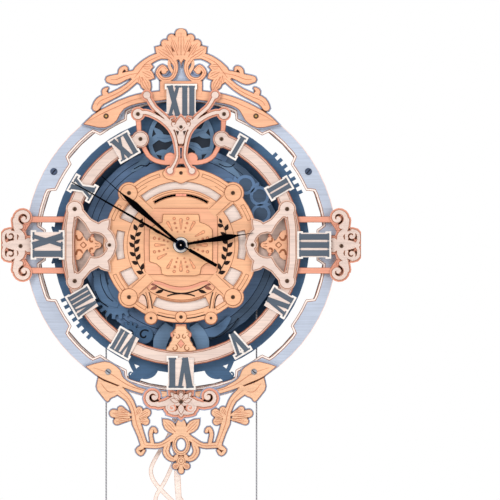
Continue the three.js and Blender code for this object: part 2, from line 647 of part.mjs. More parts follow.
// Base ornament: the left half, drawn from the bottom of the front frame
function baseHalf() {
  const leaves = [
    [[0, -30], [-15.4, -14.4], 9], [[-1, -30], [0, -13], 8],
  ];
  const lobes = [
    [[-40, -11], [-52, -5.6], 5.4], [[-37, -12], [-59, -9.6], 7], [[-37, -14], [-55.6, -17], 5.8],
    [[-38, -14], [-33, -4.6], 6], [[-38, -15], [-25.2, -7.6], 7], [[-37, -16], [-26, -16.8], 6.4],
    [[0, -50], [-6.8, -55], 5.6],
  ];
  return [
    ...leaves.map(([root, tip, width]) => petal(root, tip, width)),
    ...lobes.map(([root, tip, width]) => lobe(root, tip, width)),
    between(
      [[-78.5, 28.6], [-68.9, 31.6], [-59.9, 32.4], [-50.8, 26.7], [-47.4, 19.6], [-41, 14.8],
        [-29.5, 10], [0, 7]],
      [[-78.5, 28.6], [-68.1, 20.3], [-57.4, 15.4], [-32.8, 6.4], [0, 1]],
      20,
    ),
    between(
      [[-68, 19.6], [-60, 15.4], [-46, 10.6]],
      [[-68, 19.6], [-69.6, 11], [-65.4, 4.6], [-60.6, -0.6], [-57.6, 2.6], [-53, 4.6], [-46, 10.6]],
      14,
    ),
    ribbon([[-51, 9], [-43, 1.6], [-38.6, -8], [-36.6, -18], [-33, -28], [-30, -36]],
      [8, 6, 5.4, 7.4, 5.4, 5], 20),
    ribbon([[-34.6, -26], [-31.4, -36.4], [-36, -40], [-33, -43.4], [-30.4, -40.6]],
      [4, 4.6, 3, 3.2, 2.6], 16),
    ribbon([[-30, -36], [-18, -36.4], [-9, -31.6], [-3, -26]], [5, 4.2, 4.6, 4], 12),
    ribbon([[-23.4, -35.6], [-25, -27], [-23, -22.6], [-20.6, -24.6]], [3.4, 3.4, 4, 3.6], 12),
    ribbon([[-10.6, -34.6], [-12.6, -41], [-10, -46], [-5.8, -47.6], [-3.6, -45]],
      [4.4, 5.4, 4.8, 4, 3.4], 14),
  ];
}

function baseOrnament() {
  const half = baseHalf();
  const middle = [disc(0, -48.8, 4.2, 14), lobe([0, -50], [0, -59.8], 5.2), box(-5, -30, 5, -25)];
  const oval = arc(1, 0, 345, 23).map((p) => v(p.x * 7.4, p.y * 9 - 35.7));
  const eye = arc(1, 0, 345, 23).map((p) => v(p.x * 4.1, p.y * 5.4 - 35.7));
  const outlines = [...half, ...half.map(mirrored), ...middle, oval];
  return fretwork(outlines.map(atFoot), BASE, [atFoot(eye)]);
}

function atFoot(outline) {
  return moved(grown(outline), 0, -FRAME_RADIUS);
}

function baseScroll() {
  const half = [
    ...volute(-22.6, 3.6, 6.6, 300, -430, [4.2, 3.4, 2.6, 2]),
    ribbon([[-19.4, -3], [-12, -1.4], [-5, 1.6], [0, 1.6]], [4.2, 5, 6.5, 7], 10),
    ...volute(-8.6, -5.4, 4, 60, 400, [3.6, 2.8, 2, 1.6]),
    ribbon([[-6.6, -2], [-3, -1], [0, -1]], [3.6, 6, 7], 6),
    ribbon([[-9.6, -9], [-4, -9.6], [0, -7]], [3, 3.6, 6], 8),
    petal([-3, 2], [-9, 7.6], 3.6),
  ];
  const middle = [petal([0, 2], [0, 9.4], 4.6), petal([0, -5], [0, -13.4], 4.6)];
  return fretwork([...half, ...half.map(mirrored), ...middle].map(atFoot), BASE_SCROLL);
}

add('base_ornament', baseOrnament(), orange);
add('base_scroll', baseScroll(), cream);

// Side scrolls: the left one, drawn from the left edge of the front frame with outward to the left
const SCROLL_BAR_HEIGHT = 21 * ORNAMENT_SCALE;
function flipped(outline) {
  return outline.map((p) => v(p.x, -p.y));
}

function sideScroll() {
  const half = [
    ...volute(-0.6, 22, 7.4, 250, -440, [4.6, 3.8, 2.8, 2], 20),
    ribbon([[-8, 20.6], [-6.6, 12.6], [-2.4, 8], [-3.4, 0]], [4.4, 4.4, 5.6, 8], 10),
    ...volute(-11.4, 7.4, 4.4, 330, 400, [3.4, 2.6, 2, 1.6], 14),
    ribbon([[-12, 11.8], [-16.6, 10], [-17.4, 4], [-15, 0]], [3.4, 3.4, 3.2, 3], 8),
    ribbon([[-16, 0], [-10, 1.6], [-3, 0]], [3, 5, 8], 6),
    petal([-2, 1], [5.6, 5.6], 4.4),
  ];
  const whole = [...half, ...half.map(flipped), petal([-2, 0], [8.4, 0], 6), petal([-12, 0], [-19.4, 0], 5)];
  return whole.map((outline) => moved(grown(outline), -FRAME_RADIUS, 0));
}

function bracketOutlines() {
  const bowReach = BRACKET_REACH + 4.3 * NUMERAL_SCALE;
  const bowWidth = 5.6 * NUMERAL_SCALE;
  const half = [
    disc(-BRACKET_REACH, BRACKET_BOSS_HEIGHT, 6.4 * NUMERAL_SCALE),
    ribbon([[-BRACKET_HUB + 2, 11], [-BRACKET_HUB - 7, 18], [-BRACKET_REACH, BRACKET_BOSS_HEIGHT]],
      [13, 9, 9], 8),
    ribbon([
      [-BRACKET_REACH - 2, BRACKET_BOSS_HEIGHT], [-bowReach, BRACKET_BOSS_HEIGHT / 2], [-bowReach - 0.4, 0],
    ], [6, bowWidth, bowWidth], 10),
    petal([-BRACKET_HUB + 1, 8], [-BRACKET_HUB + 12, 21], 9, 6, 0.5),
  ];
  const body = [disc(-BRACKET_HUB, 0, 17, 28), disc(-BRACKET_HUB + 10, 0, 7.4, 16)];
  return [...half, ...half.map(flipped), ...body];
}

function bracketWindows() {
  const lobe = ribbon(
    [[-BRACKET_HUB - 8, 6], [-BRACKET_REACH + 5, 15], [-BRACKET_REACH + 2.4, 21]], [12, 9, 4.4], 8,
  );
  const middle = box(-BRACKET_REACH - 1.6, -12, -BRACKET_HUB - 5.5, 12);
  return [disc(-BRACKET_HUB, 0, 10.6, 24), lobe, flipped(lobe), middle];
}

// The backing carries the scroll and the ring, and fills the bracket's window with two curls and a leaf
function sideBacking() {
  const half = [
    bar(v(-FRAME_RADIUS + 4, SCROLL_BAR_HEIGHT), v(-BRACKET_REACH - 4, SCROLL_BAR_HEIGHT), 5),
    disc(-BRACKET_REACH, BRACKET_BOSS_HEIGHT, 7.4, 14),
    ribbon([[-BRACKET_REACH - 4, BRACKET_BOSS_HEIGHT], [-BRACKET_REACH - 4.6, 14], [-BRACKET_REACH - 5, 0]],
      [6, 7, 7], 6),
    ribbon([[-FRAME_RADIUS + 2, SCROLL_BAR_HEIGHT], [-FRAME_RADIUS - 3, 10], [-FRAME_RADIUS + 1, 0]],
      [9, 6, 16], 8),
    ...volute(-BRACKET_REACH + 3.4, 7.6, 3.4, 180, -330, [2.6, 2.2, 1.8], 12),
    ribbon([[-BRACKET_REACH - 3, 8], [-BRACKET_REACH + 4, 3], [-BRACKET_HUB - 6, 2], [-BRACKET_HUB - 2, 8]],
      [5, 4, 3.4, 2.6], 10),
  ];
  const middle = [
    petal([-BRACKET_HUB - 8, 0], [-DIAL_RADIUS, 0], 7),
    bar(v(-BRACKET_REACH - 5, 0), v(-BRACKET_HUB - 4, 0), 4),
  ];
  const dialRoom = disc(0, 0, DIAL_RADIUS + LAYER_GAP, 48);
  const flat = fretwork([...half, ...half.map(flipped), ...middle], SIDE, [dialRoom]);
  const foot = box(-FRAME_RADIUS + 1, -8, -FRAME_INNER - 1, 8);
  return flat.add(slab(foot, [FRONT[1], SIDE[1]]));
}

function bracket() {
  const seat = slab(disc(-BRACKET_HUB + 12, 0, 3.5, 12), [DIAL_FRAME[1], BRACKET[1]]);
  return fretwork(bracketOutlines(), BRACKET, bracketWindows()).add(seat);
}

// The right-hand piece is the left-hand one seen in a mirror
function reflected(whole) {
  return whole.mirror([1, 0, 0]);
}

const leftBacking = sideBacking();
const leftScroll = fretwork(sideScroll(), layerOn(SIDE, TRIM_THICKNESS));
const leftBracket = bracket();
add('left_side_backing', leftBacking, salmon);
add('right_side_backing', reflected(leftBacking), salmon);
add('left_scroll', leftScroll, cream);
add('right_scroll', reflected(leftScroll), cream);
add('left_bracket', leftBracket, cream);
add('right_bracket', reflected(leftBracket), cream);

// Numeral ring, open at the top, and the salmon backing with the loops, the wishbone border and the lower tie
const ringEnd = polar(NUMERAL_CIRCLE, 90 + RING_GAP_ANGLE);
const wishboneBoss = v(-35.3, NUMERAL_CIRCLE + 14.5);
function ringBand(width) {
  const from = 90 + RING_GAP_ANGLE;
  const to = 450 - RING_GAP_ANGLE;
  return [
    ...arc(NUMERAL_CIRCLE + width / 2, from, to, 52), ...arc(NUMERAL_CIRCLE - width / 2, to, from, 52),
  ];
}

function wishboneHalf() {
  const top = NUMERAL_CIRCLE;
  return [
    ribbon([[-9, DIAL_RADIUS - 3.4], [-4.6, DIAL_RADIUS + 4], [-3, top - 17], [-6.4, top - 1],
      [-15.6, top + 9.6], [-28, top + 15.6], [wishboneBoss.x, wishboneBoss.y]],
      [3, 2.4, 2.2, 3, 3.4, 3.4, 3.4], 20),
    disc(wishboneBoss.x, wishboneBoss.y, 4.6, 14),
    disc(-9, DIAL_RADIUS - 3.2, 2.9, 12),
    ribbon([[-6.4, top + 3], [-13, top + 12], [-22, top + 20], [-28, top + 30]], [4, 3.2, 3, 3.2], 12),
    disc(-28, top + 30, 3.3, 12),
    ribbon([[-1, top - 9], [-3.2, top + 1], [-7, top + 5]], [3, 3.4, 3], 8),
    ribbon([[-3.6, top + 6], [-7.4, top + 7], [-8.6, top + 10.4], [-6, top + 11.4]], [4, 2, 1.6, 1.4], 10),
  ];
}

function wishbone() {
  const half = wishboneHalf();
  const middle = petal([0, NUMERAL_CIRCLE - 12], [0, NUMERAL_CIRCLE + 13], 10, 6, 0.66);
  return fretwork([...half, ...half.map(mirrored), middle], RING);
}

function ringBacking() {
  const low = -DIAL_RADIUS;
  const half = [
    ribbon([[wishboneBoss.x, wishboneBoss.y], [-34.6, NUMERAL_CIRCLE + 3], [ringEnd.x, ringEnd.y]],
      [5, 4, 4], 6),
    ribbon([[ringEnd.x, ringEnd.y], [-26, DIAL_RADIUS + 8.6], [-14, DIAL_RADIUS + 3.6], [0, DIAL_RADIUS + 5]],
      [4, 4, 4, 5], 10),
    disc(wishboneBoss.x, wishboneBoss.y, 5.8, 14),
    disc(-9, DIAL_RADIUS + 7, 5, 12),
    disc(ringEnd.x, ringEnd.y, 7.4, 16),
    ...volute(-5.6, low - 20.4, 3.4, 30, 330, [2.6, 2.2, 1.6], 12),
    ribbon([[-2, low - 2], [-3.4, low - 12], [-2.4, low - 20], [-6, low - 26]], [5, 5, 4, 4], 8),
    ribbon([[-3, low - 6], [-7.6, low - 9], [-6, low - 12.6]], [3, 2.6, 2], 6),
  ];
  const tie = bar(v(0, low - 2), v(0, 4 - NUMERAL_CIRCLE), 6);
  return fretwork([ringBand(NUMERAL_BAND + 2.4), ...half, ...half.map(mirrored), tie], SURROUND,
    [disc(0, 0, DIAL_RADIUS + LAYER_GAP, 48)]);
}

function numeralRing() {
  const end = disc(ringEnd.x, ringEnd.y, 6.6, 18);
  return fretwork([ringBand(NUMERAL_BAND), end, mirrored(end)], RING);
}

add('ring_backing', ringBacking(), salmon);
add('numeral_ring', numeralRing(), cream);
add('wishbone', wishbone(), cream);

// Numerals: strokes of a Roman numeral in a box of the given width and height, with its middle at the origin
const GLYPHS = {
  I: { width: 0.3, strokes: [[0.15, 0, 0.15, 1, 0.16]], feet: [[0.15, 0], [0.15, 1]] },
  V: {
    width: 0.62,
    strokes: [[0.14, 1, 0.32, 0, 0.16], [0.5, 1, 0.33, 0, 0.08]],
    feet: [[0.14, 1], [0.5, 1]],
  },
  X: {
    width: 0.62,
    strokes: [[0.14, 1, 0.48, 0, 0.16], [0.48, 1, 0.14, 0, 0.08]],
    feet: [[0.14, 0], [0.48, 0], [0.14, 1], [0.48, 1]],
  },
};
const FOOT_WIDTH = 0.27;
const FOOT_HEIGHT = 0.06;

function numeralOutlines(text, height, width, grow) {
  const total = [...text].reduce((sum, letter) => sum + GLYPHS[letter].width, 0);
  const across = width / total;
  const outlines = [];
  let start = -total / 2;
  for (const letter of text) {
    const { strokes, feet, width: advance } = GLYPHS[letter];
    const place = ([x, y]) => v((start + x) * across, (y - 0.5) * height);
    for (const [x0, y0, x1, y1, thick] of strokes) {
      outlines.push(bar(place([x0, y0]), place([x1, y1]), thick * across + 2 * grow));
    }
    for (const foot of feet) {
      const p = place(foot);
      const inward = p.y > 0 ? -1 : 1;
      const half = FOOT_WIDTH * across / 2 + grow;
      const inner = p.y + inward * (FOOT_HEIGHT * height + grow);
      outlines.push(box(p.x - half, p.y - inward * grow, p.x + half, inner));
    }
    start += advance;
  }
  return outlines;
}

const LARGE_NUMERAL_CIRCLE = NUMERAL_CIRCLE + 16.3 * NUMERAL_SCALE;
const LOWEST_NUMERAL_CIRCLE = NUMERAL_CIRCLE + 11.8 * NUMERAL_SCALE;
const NUMERALS = [
  { hour: 1, text: 'I', width: 6 }, { hour: 2, text: 'II', width: 10 },
  { hour: 3, text: 'III', width: 20 }, { hour: 4, text: 'IV', width: 17.6 },
  { hour: 5, text: 'V', width: 13.4 }, { hour: 6, text: 'VI', width: 21 },
  { hour: 7, text: 'VII', width: 17.4 }, { hour: 8, text: 'VIII', width: 19 },
  { hour: 9, text: 'IX', width: 21.4 }, { hour: 10, text: 'X', width: 13.4 },
  { hour: 11, text: 'XI', width: 16.6 }, { hour: 12, text: 'XII', width: 23.6 },
];

function numeral({ hour, text, width }) {
  const large = hour % 3 === 0;
  const height = (large ? LARGE_NUMERAL_HEIGHT : NUMERAL_HEIGHT) * NUMERAL_SCALE;
  const outer = hour === 6 ? LOWEST_NUMERAL_CIRCLE : LARGE_NUMERAL_CIRCLE;
  const radius = large ? outer : NUMERAL_CIRCLE;
  const crowned = hour === 12;
  const layer = crowned ? [CROWN[1], RING[0]] : RING_TRIM;
  const rise = crowned ? FRAME_RADIUS - 10 - radius : 0;
  const across = width * NUMERAL_SCALE;
  const outlines = numeralOutlines(text, height, across, NUMERAL_BORDER * NUMERAL_SCALE);
  if (text.length > 1) {
    outlines.push(box(-across / 2, -height / 2, across / 2, height / 2));
  }
  const placed = outlines.map((o) => turned(moved(o, 0, radius + rise), -30 * hour));
  return fretwork(placed, layer, [], SMALLEST_WINDOW * NUMERAL_SCALE ** 2);
}

NUMERALS.forEach((entry) => add(`numeral_${entry.hour}`, numeral(entry), white));

// Dial: a cream base under a tan frame with windows
const HOUR_TUBE_RADIUS = MINUTE_NOSE_RADIUS + RUNNING_GAP + HOUR_TUBE_WALL;
function dialOutlines(grow, sides) {
  const corners = [[1, 1], [-1, 1], [1, -1], [-1, -1]].map(([sx, sy]) => {
    return disc(sx * DIAL_BOSS_PLACE, sy * DIAL_BOSS_PLACE, DIAL_BOSS_RADIUS + grow, sides / 3);
  });
  const lower = [-1, 1].map((side) => disc(side * 24.6, 4 - DIAL_RADIUS, 5.6 + grow, sides / 4));
  return [disc(0, 0, DIAL_RADIUS + grow, sides), ...corners, ...lower];
}

function sector(outer, inner, from, to, steps) {
  return [...arc(outer, from, to, steps), ...arc(inner, to, from, steps)];
}

function dialFrame() {
  const windows = [
    sector(DIAL_RADIUS - 12, DIAL_RADIUS - 18, 51, 129, 12),
    sector(DIAL_RADIUS - 9.4, DIAL_RADIUS - 16.8, 245, 295, 10),
    ...[[24, 38], [142, 156], [204, 218], [322, 336]].map(([a, b]) => {
      return sector(DIAL_RADIUS - 9.5, DIAL_RADIUS - 19.5, a, b, 4);
    }),
    ...[[-13, 13], [167, 193]].map(([a, b]) => sector(DIAL_RADIUS - 10.6, DIAL_RADIUS - 16.6, a, b, 6)),
  ];
  const bore = disc(0, 0, HOUR_TUBE_RADIUS + RUNNING_GAP, 20);
  return fretwork(dialOutlines(0, 60), DIAL_FRAME, [...windows, bore]);
}

function dialBase() {
  return fretwork(dialOutlines(-0.8, 36), DIAL_BASE, [disc(0, 0, HOUR_TUBE_RADIUS + RUNNING_GAP, 20)]);
}

add('dial_base', dialBase(), cream);
add('dial_frame', dialFrame(), tan);

// Wheels: flat-flanked teeth, the first tooth pointing along the given direction. Wheels have pointed roots
// and pinions flat ones.
const TOOTH_TIP = 0.07;
const PINION_TOOTH_ROOT = 0.27;
const LARGEST_PINION = 10;
const TOOTH_ADDENDUM = 0.8;
const TOOTH_DEDENDUM = 1.25;

function gear(teeth, module, direction = 0) {
  const pitch = 360 / teeth;
  const radius = teeth * module / 2;
  const tip = radius + TOOTH_ADDENDUM * module;
  const root = radius - TOOTH_DEDENDUM * module;
  return Array.from({ length: teeth }, (_, i) => {
    const middle = direction + i * pitch;
    const crest = [polar(tip, middle - TOOTH_TIP * pitch), polar(tip, middle + TOOTH_TIP * pitch)];
    if (teeth > LARGEST_PINION) return [...crest, polar(root, middle + pitch / 2)];
    const foot = PINION_TOOTH_ROOT * pitch;
    return [polar(root, middle - foot), ...crest, polar(root, middle + foot)];
  }).flat();
}

// The direction of a tooth on a wheel that has a gap facing another wheel
function facingGap(teeth, towards) {
  return towards + 180 / teeth;
}

function at(place, outline) {
  return moved(outline, place.x, place.y);
}

// Openings between the spokes of a wheel
function spokeWindows(count, outer, inner, spoke, offset = 0, steps = 5) {
  return Array.from({ length: count }, (_, i) => {
    const from = offset + i * 360 / count;
    const to = from + 360 / count;
    const trim = (radius) => THREE.MathUtils.radToDeg(spoke / 2 / radius);
    return [
      ...arc(outer, from + trim(outer), to - trim(outer), steps),
      ...arc(inner, to - trim(inner), from + trim(inner), Math.ceil(steps / 2)),
    ];
  });
}

const SLEEVE_BORE = SLEEVE_RADIUS + RUNNING_GAP;
function greatWheel() {
  return slab(gear(GREAT_TEETH, GREAT_MODULE, 180), GREAT, [disc(0, 0, SLEEVE_BORE, 20)]);
}

function drum() {
  const core = CORD_RADIUS_ON_DRUM - CORD_DIAMETER / 2 - RUNNING_GAP;
  const [back, front] = DRUM;
  const profile = [
    [SLEEVE_BORE, back], [DRUM_FLANGE_RADIUS, back], [DRUM_FLANGE_RADIUS, back + DRUM_FLANGE_THICKNESS],
    [core, back + DRUM_FLANGE_THICKNESS], [core, front - DRUM_FLANGE_THICKNESS],
    [DRUM_FRONT_RADIUS, front - DRUM_FLANGE_THICKNESS], [DRUM_FRONT_RADIUS, front], [SLEEVE_BORE, front],
    [SLEEVE_BORE, back],
  ];
  return turnedPiece(profile, HUB, 36);
}

function firstArbor() {
  const pinion = gear(FIRST_PINION_TEETH, GREAT_MODULE, facingGap(FIRST_PINION_TEETH, 0));
  const wheel = gear(FIRST_WHEEL_TEETH, idlerModule, 0);
  return joined([
    slab(at(FIRST_PLACE, pinion), GREAT), slab(at(FIRST_PLACE, wheel), FIRST),
    rod(PIVOT_RADIUS + 2, [FIRST[0], GREAT[1]], FIRST_PLACE),
    rod(PIVOT_RADIUS, [REAR[0] + LAYER_GAP, INNER[1] - LAYER_GAP / 2], FIRST_PLACE),
  ]);
}

const idlerDirection = facingGap(IDLER_TEETH, 180);
function idlerWheel() {
  const wheel = at(IDLER_PLACE, gear(IDLER_TEETH, idlerModule, idlerDirection));
  return slab(wheel, FIRST).add(rod(PIVOT_RADIUS, [FIRST[0], MIDDLE[1] - LAYER_GAP / 2], IDLER_PLACE, 12));
}

// Which way the idler's teeth sit as they reach the hub decides how the minute pinion is turned
function minutePinionDirection() {
  const pitch = 360 / IDLER_TEETH;
  const offset = (0 - idlerDirection) / pitch;
  const share = offset - Math.round(offset);
  return 180 + 180 / MINUTE_PINION_TEETH + share * 360 / MINUTE_PINION_TEETH;
}

const SECONDS_BORE = SECONDS_ROD_RADIUS + RUNNING_GAP;
function minuteArbor() {
  const whole = joined([
    slab(gear(MINUTE_WHEEL_TEETH, minuteModule, 90), MINUTE),
    slab(gear(MINUTE_PINION_TEETH, idlerModule, minutePinionDirection()), FIRST),
    slab(gear(CANNON_TEETH, cannonModule, 270), CANNON),
    rod(MINUTE_TUBE_RADIUS, [MINUTE[0], CANNON[1]], HUB, 14),
    rod(MINUTE_NOSE_RADIUS, [CANNON[0], MINUTE_HAND[1]], HUB, 14),
  ]);
  return cut(whole, [disc(0, 0, SECONDS_BORE, 14)], [MINUTE[0], MINUTE_HAND[1]]);
}

function thirdArbor() {
  const pinion = gear(THIRD_PINION_TEETH, minuteModule, facingGap(THIRD_PINION_TEETH, 270));
  return joined([
    slab(at(THIRD_PLACE, gear(THIRD_WHEEL_TEETH, thirdModule, 270)), THIRD),
    slab(at(THIRD_PLACE, pinion), MINUTE),
    rod(PIVOT_RADIUS, [THIRD[0], MIDDLE[1] - LAYER_GAP / 2], THIRD_PLACE, 12),
  ]);
}

function secondsArbor() {
  return joined([
    slab(gear(SECONDS_PINION_TEETH, thirdModule, facingGap(SECONDS_PINION_TEETH, 90)), THIRD),
    rod(SECONDS_ROD_RADIUS, [REAR[0] + LAYER_GAP, SECOND_HAND[1] + 1], HUB, 14),
  ]);
}

function escapeWheel() {
  const depth = 5;
  const pitch = 360 / ESCAPE_TEETH;
  const teeth = Array.from({ length: ESCAPE_TEETH }, (_, i) => {
    const start = i * pitch;
    return [polar(ESCAPE_RADIUS, start), polar(ESCAPE_RADIUS - depth, start + 0.3 * pitch)];
  }).flat();
  const windows = spokeWindows(5, ESCAPE_RADIUS - depth - 5, 10, 6, 90, 4);
  return slab(teeth, ESCAPE, [disc(0, 0, SECONDS_BORE, 14), ...windows]);
}

function motionArbor() {
  return joined([
    slab(at(MOTION_PLACE, gear(MOTION_WHEEL_TEETH, cannonModule, facingGap(MOTION_WHEEL_TEETH, 90))), CANNON),
    slab(at(MOTION_PLACE, gear(MOTION_PINION_TEETH, hourModule, 90)), HOUR_WORK),
    rod(PIVOT_RADIUS, [INNER[0] + LAYER_GAP / 2, HOUR_WORK[1]], MOTION_PLACE, 12),
  ]);
}

function hourWheel() {
  const wheel = slab(gear(HOUR_WHEEL_TEETH, hourModule, facingGap(HOUR_WHEEL_TEETH, 270)), HOUR_WORK);
  const whole = wheel.add(rod(HOUR_TUBE_RADIUS, [HOUR_WORK[0], HOUR_HAND[1]], HUB, 18));
  return cut(whole, [disc(0, 0, MINUTE_NOSE_RADIUS + RUNNING_GAP, 16)], [HOUR_WORK[0], HOUR_HAND[1]]);
}

// Anchor: arms from the pallet arbor to both sides of the escape wheel, clear of its teeth
function anchor() {
  const reach = ESCAPE_RADIUS + PALLET_CLEARANCE;
  const span = THREE.MathUtils.radToDeg(Math.acos(reach / PENDULUM_PIVOT_DROP));
  const tip = polar(reach, 270 - span);
  const heel = polar(reach + 8, 270 - span - 3);
  const arm = ribbon([[0, -PENDULUM_PIVOT_DROP], [tip.x / 2 - 4, (tip.y - PENDULUM_PIVOT_DROP) / 2 - 6],
    [heel.x, heel.y]], [11, 7, 6], 8);
  const pallet = [tip, polar(reach + 3, 270 - span - 4), heel, polar(reach + 7, 270 - span + 3)];
  const flat = [arm, mirrored(arm), pallet, mirrored(pallet), disc(0, -PENDULUM_PIVOT_DROP, 12)];
  return fretwork(flat, ESCAPE)
    .add(rod(PIVOT_RADIUS, [REAR[0] + LAYER_GAP, INNER[1] - LAYER_GAP / 2], PALLET_PLACE));
}

add('drum', drum(), midBlue);
add('great_wheel', greatWheel(), midBlue);
add('first_arbor', firstArbor(), midBlue);
add('idler_wheel', idlerWheel(), midBlue);
add('minute_arbor', minuteArbor(), midBlue);
add('third_arbor', thirdArbor(), midBlue);
add('seconds_arbor', secondsArbor(), brass);
add('escape_wheel', escapeWheel(), midBlue);
add('motion_arbor', motionArbor(), midBlue);
add('hour_wheel', hourWheel(), midBlue);
add('anchor', anchor(), midBlue);

// Hands, drawn pointing up and turned to the time
// A stem that swells into a leaf, widest at a share of the length, and runs out in a needle
function leafHand(length, widest, share) {
  const shape = [
    [0.04, 0.36], [share * 0.57, 0.5], [share * 0.8, 0.75], [share, 1], [share + 0.075, 0.7],
    [share + 0.15, 0.25], [share + 0.2, 0.15], [1, 0.08],
  ];
  const left = shape.map(([along, wide]) => v(-wide * widest / 2, along * length));
  return [...left, ...mirrored(left).reverse()];
}

function hand(outlines, boss, bore, layer, angle) {
  const flat = [...outlines.map((o) => turned(o, -angle)), disc(0, 0, boss, 20)];
  return fretwork(flat, layer, [disc(0, 0, bore + RUNNING_GAP, 16)]);
}

function secondHand() {
  const needle = [v(-0.9, 0), v(-0.45, SECOND_HAND_LENGTH), v(0.45, SECOND_HAND_LENGTH), v(0.9, 0)];
  const tail = box(-1.4, -SECOND_HAND_TAIL, 1.4, -8);
  const neck = box(-0.7, -10, 0.7, 0);
  const lens = petal([0, 14], [0, 28], 2.6);
  const flat = hand([needle, tail, neck, lens], 3.6, SECONDS_ROD_RADIUS, SECOND_HAND, SECOND_HAND_ANGLE);
  const cap = turnedPiece([
    [0, SECOND_HAND[1] + 1 + RUNNING_GAP], [SECONDS_BORE, SECOND_HAND[1] + 1 + RUNNING_GAP],
    [SECONDS_BORE, SECOND_HAND[1] - 0.2], [4.1, SECOND_HAND[1] - 0.2], [4.1, SECOND_HAND[1] + 1],
    [2.4, SECOND_HAND[1] + 2.6], [0, SECOND_HAND[1] + 2.8],
  ], HUB, 12);
  return flat.add(cap);
}

const hourLeaf = leafHand(HOUR_HAND_LENGTH, 5.6, 0.63);
const minuteLeaf = leafHand(MINUTE_HAND_LENGTH, 5.6, 0.58);
add('hour_hand', hand([hourLeaf], 6.6, HOUR_TUBE_RADIUS, HOUR_HAND, HOUR_HAND_ANGLE), black);
add('minute_hand', hand([minuteLeaf], 5.2, MINUTE_NOSE_RADIUS, MINUTE_HAND, MINUTE_HAND_ANGLE), black);
add('second_hand', secondHand(), black);

// Pendulum: a stem with strands winding round it, and a tenon that goes into a drop-shaped bob
const bobTip = -BOB_CENTRE_DROP + BOB_TIP_RISE;
function pendulumRod() {
  const top = -PENDULUM_PIVOT_DROP;
  const end = bobTip + 4;
  const along = (share) => top + (end - top) * share;
  const vine = (points, widths) => ribbon(points.map(([x, share]) => [x, along(share)]), widths, 32);
  const strand = (points) => vine(points, [STRAND_WIDTH, STRAND_WIDTH + 0.4, STRAND_WIDTH]);
  const flat = [
    disc(0, top, 7, 18),
    box(-TENON_WIDTH / 2, bobTip - TENON_LENGTH, TENON_WIDTH / 2, end + 2),
    vine([[0, 0], [-3.6, 0.14], [-4.6, 0.195], [-6.2, 0.226], [-6.2, 0.248], [-4.6, 0.27], [-3.4, 0.295],
      [-3.4, 0.335], [-2.8, 0.39], [0, 0.52], [0, 0.75], [0, 1]],
    [STEM_WIDTH, STEM_WIDTH, STEM_WIDTH + 1, STEM_WIDTH]),
    strand([[-1.6, 0.41], [8, 0.47], [18, 0.54], [24, 0.61], [26, 0.69], [20, 0.76], [7, 0.84], [0, 0.91]]),
    strand([[0, 0.04], [-5, 0.15], [-9.6, 0.21], [-16, 0.254], [-22.8, 0.3], [-25.2, 0.328], [-23.4, 0.356],
      [-17.5, 0.386], [-6, 0.43], [4, 0.47], [13, 0.53], [19, 0.6], [17, 0.67], [8, 0.75], [0, 0.82]]),
    strand([[-3.4, 0.275], [-9.5, 0.33], [-14.6, 0.37], [-20, 0.402], [-21.4, 0.436], [-16, 0.48],
      [-5, 0.535], [4, 0.59], [0, 0.65], [-12, 0.72], [-19, 0.8], [-13, 0.89], [-1, 0.97]]),
  ];
  return fretwork(flat, PENDULUM, [pivotHole(PALLET_PLACE)]);
}

function bobOutline() {
  const centre = v(0, -BOB_CENTRE_DROP);
  const shoulder = 32;
  const round = arc(BOB_RADIUS, 90 + shoulder, 450 - shoulder, 36, centre);
  const tip = v(0, bobTip);
  const right = new THREE.QuadraticBezierCurve(round.at(-1), v(4, tip.y - 16), tip).getPoints(6).slice(1);
  const left = new THREE.QuadraticBezierCurve(tip, v(-4, tip.y - 16), round[0]).getPoints(6).slice(1, -1);
  return [...round, ...right, ...left];
}

function pendulumBob() {
  const layer = [CORD_DEPTH - BOB_THICKNESS / 2, CORD_DEPTH + BOB_THICKNESS / 2];
  const half = TENON_WIDTH / 2 + RUNNING_GAP;
  const mortise = box(-half, bobTip - TENON_LENGTH - RUNNING_GAP, half, bobTip + TENON_LENGTH);
  const room = [PENDULUM[0] - RUNNING_GAP, PENDULUM[1] + RUNNING_GAP];
  return slab(bobOutline(), layer).subtract(slab(mortise, room));
}

add('pendulum_rod', pendulumRod(), cream);
add('pendulum_bob', pendulumBob(), bobBlue);

// Weights and cord. A weight's own zero is the end of its cord.
function mainWeight() {
  const column = MAIN_COLUMN_RADIUS;
  const flange = MAIN_FLANGE_RADIUS;
  const top = -36;
  const bottom = top - MAIN_COLUMN_LENGTH;
  const body = upright([
    [0, bottom - 28], [1.6, bottom - 27], [2, bottom - 14], [9, bottom - 10], [12, bottom - 6],
    [flange - 2, bottom - 6], [flange, bottom - 4], [flange, bottom - 1.6], [flange - 2, bottom],
    [column, bottom + 1], [column, top - 1],
    [flange - 2, top], [flange, top + 1.6], [flange, top + 4], [flange - 2, top + 6],
    [9, top + 6], [7, top + 12], [3, top + 22], [2, top + 30], [1.4, top + 36], [0, top + 36],
  ], 16);
  const finial = [];
  for (const side of [-1, 1]) {
    finial.push(petal([0, top + 5], [side * 8.6, top + 19], 8));
    finial.push(petal([0, top + 5], [side * 13.4, top + 12], 7));
  }
  finial.push(petal([0, top + 5], [0, top + 27], 9));
  return body.add(fretwork(finial, [-1.5, 1.5]));
}

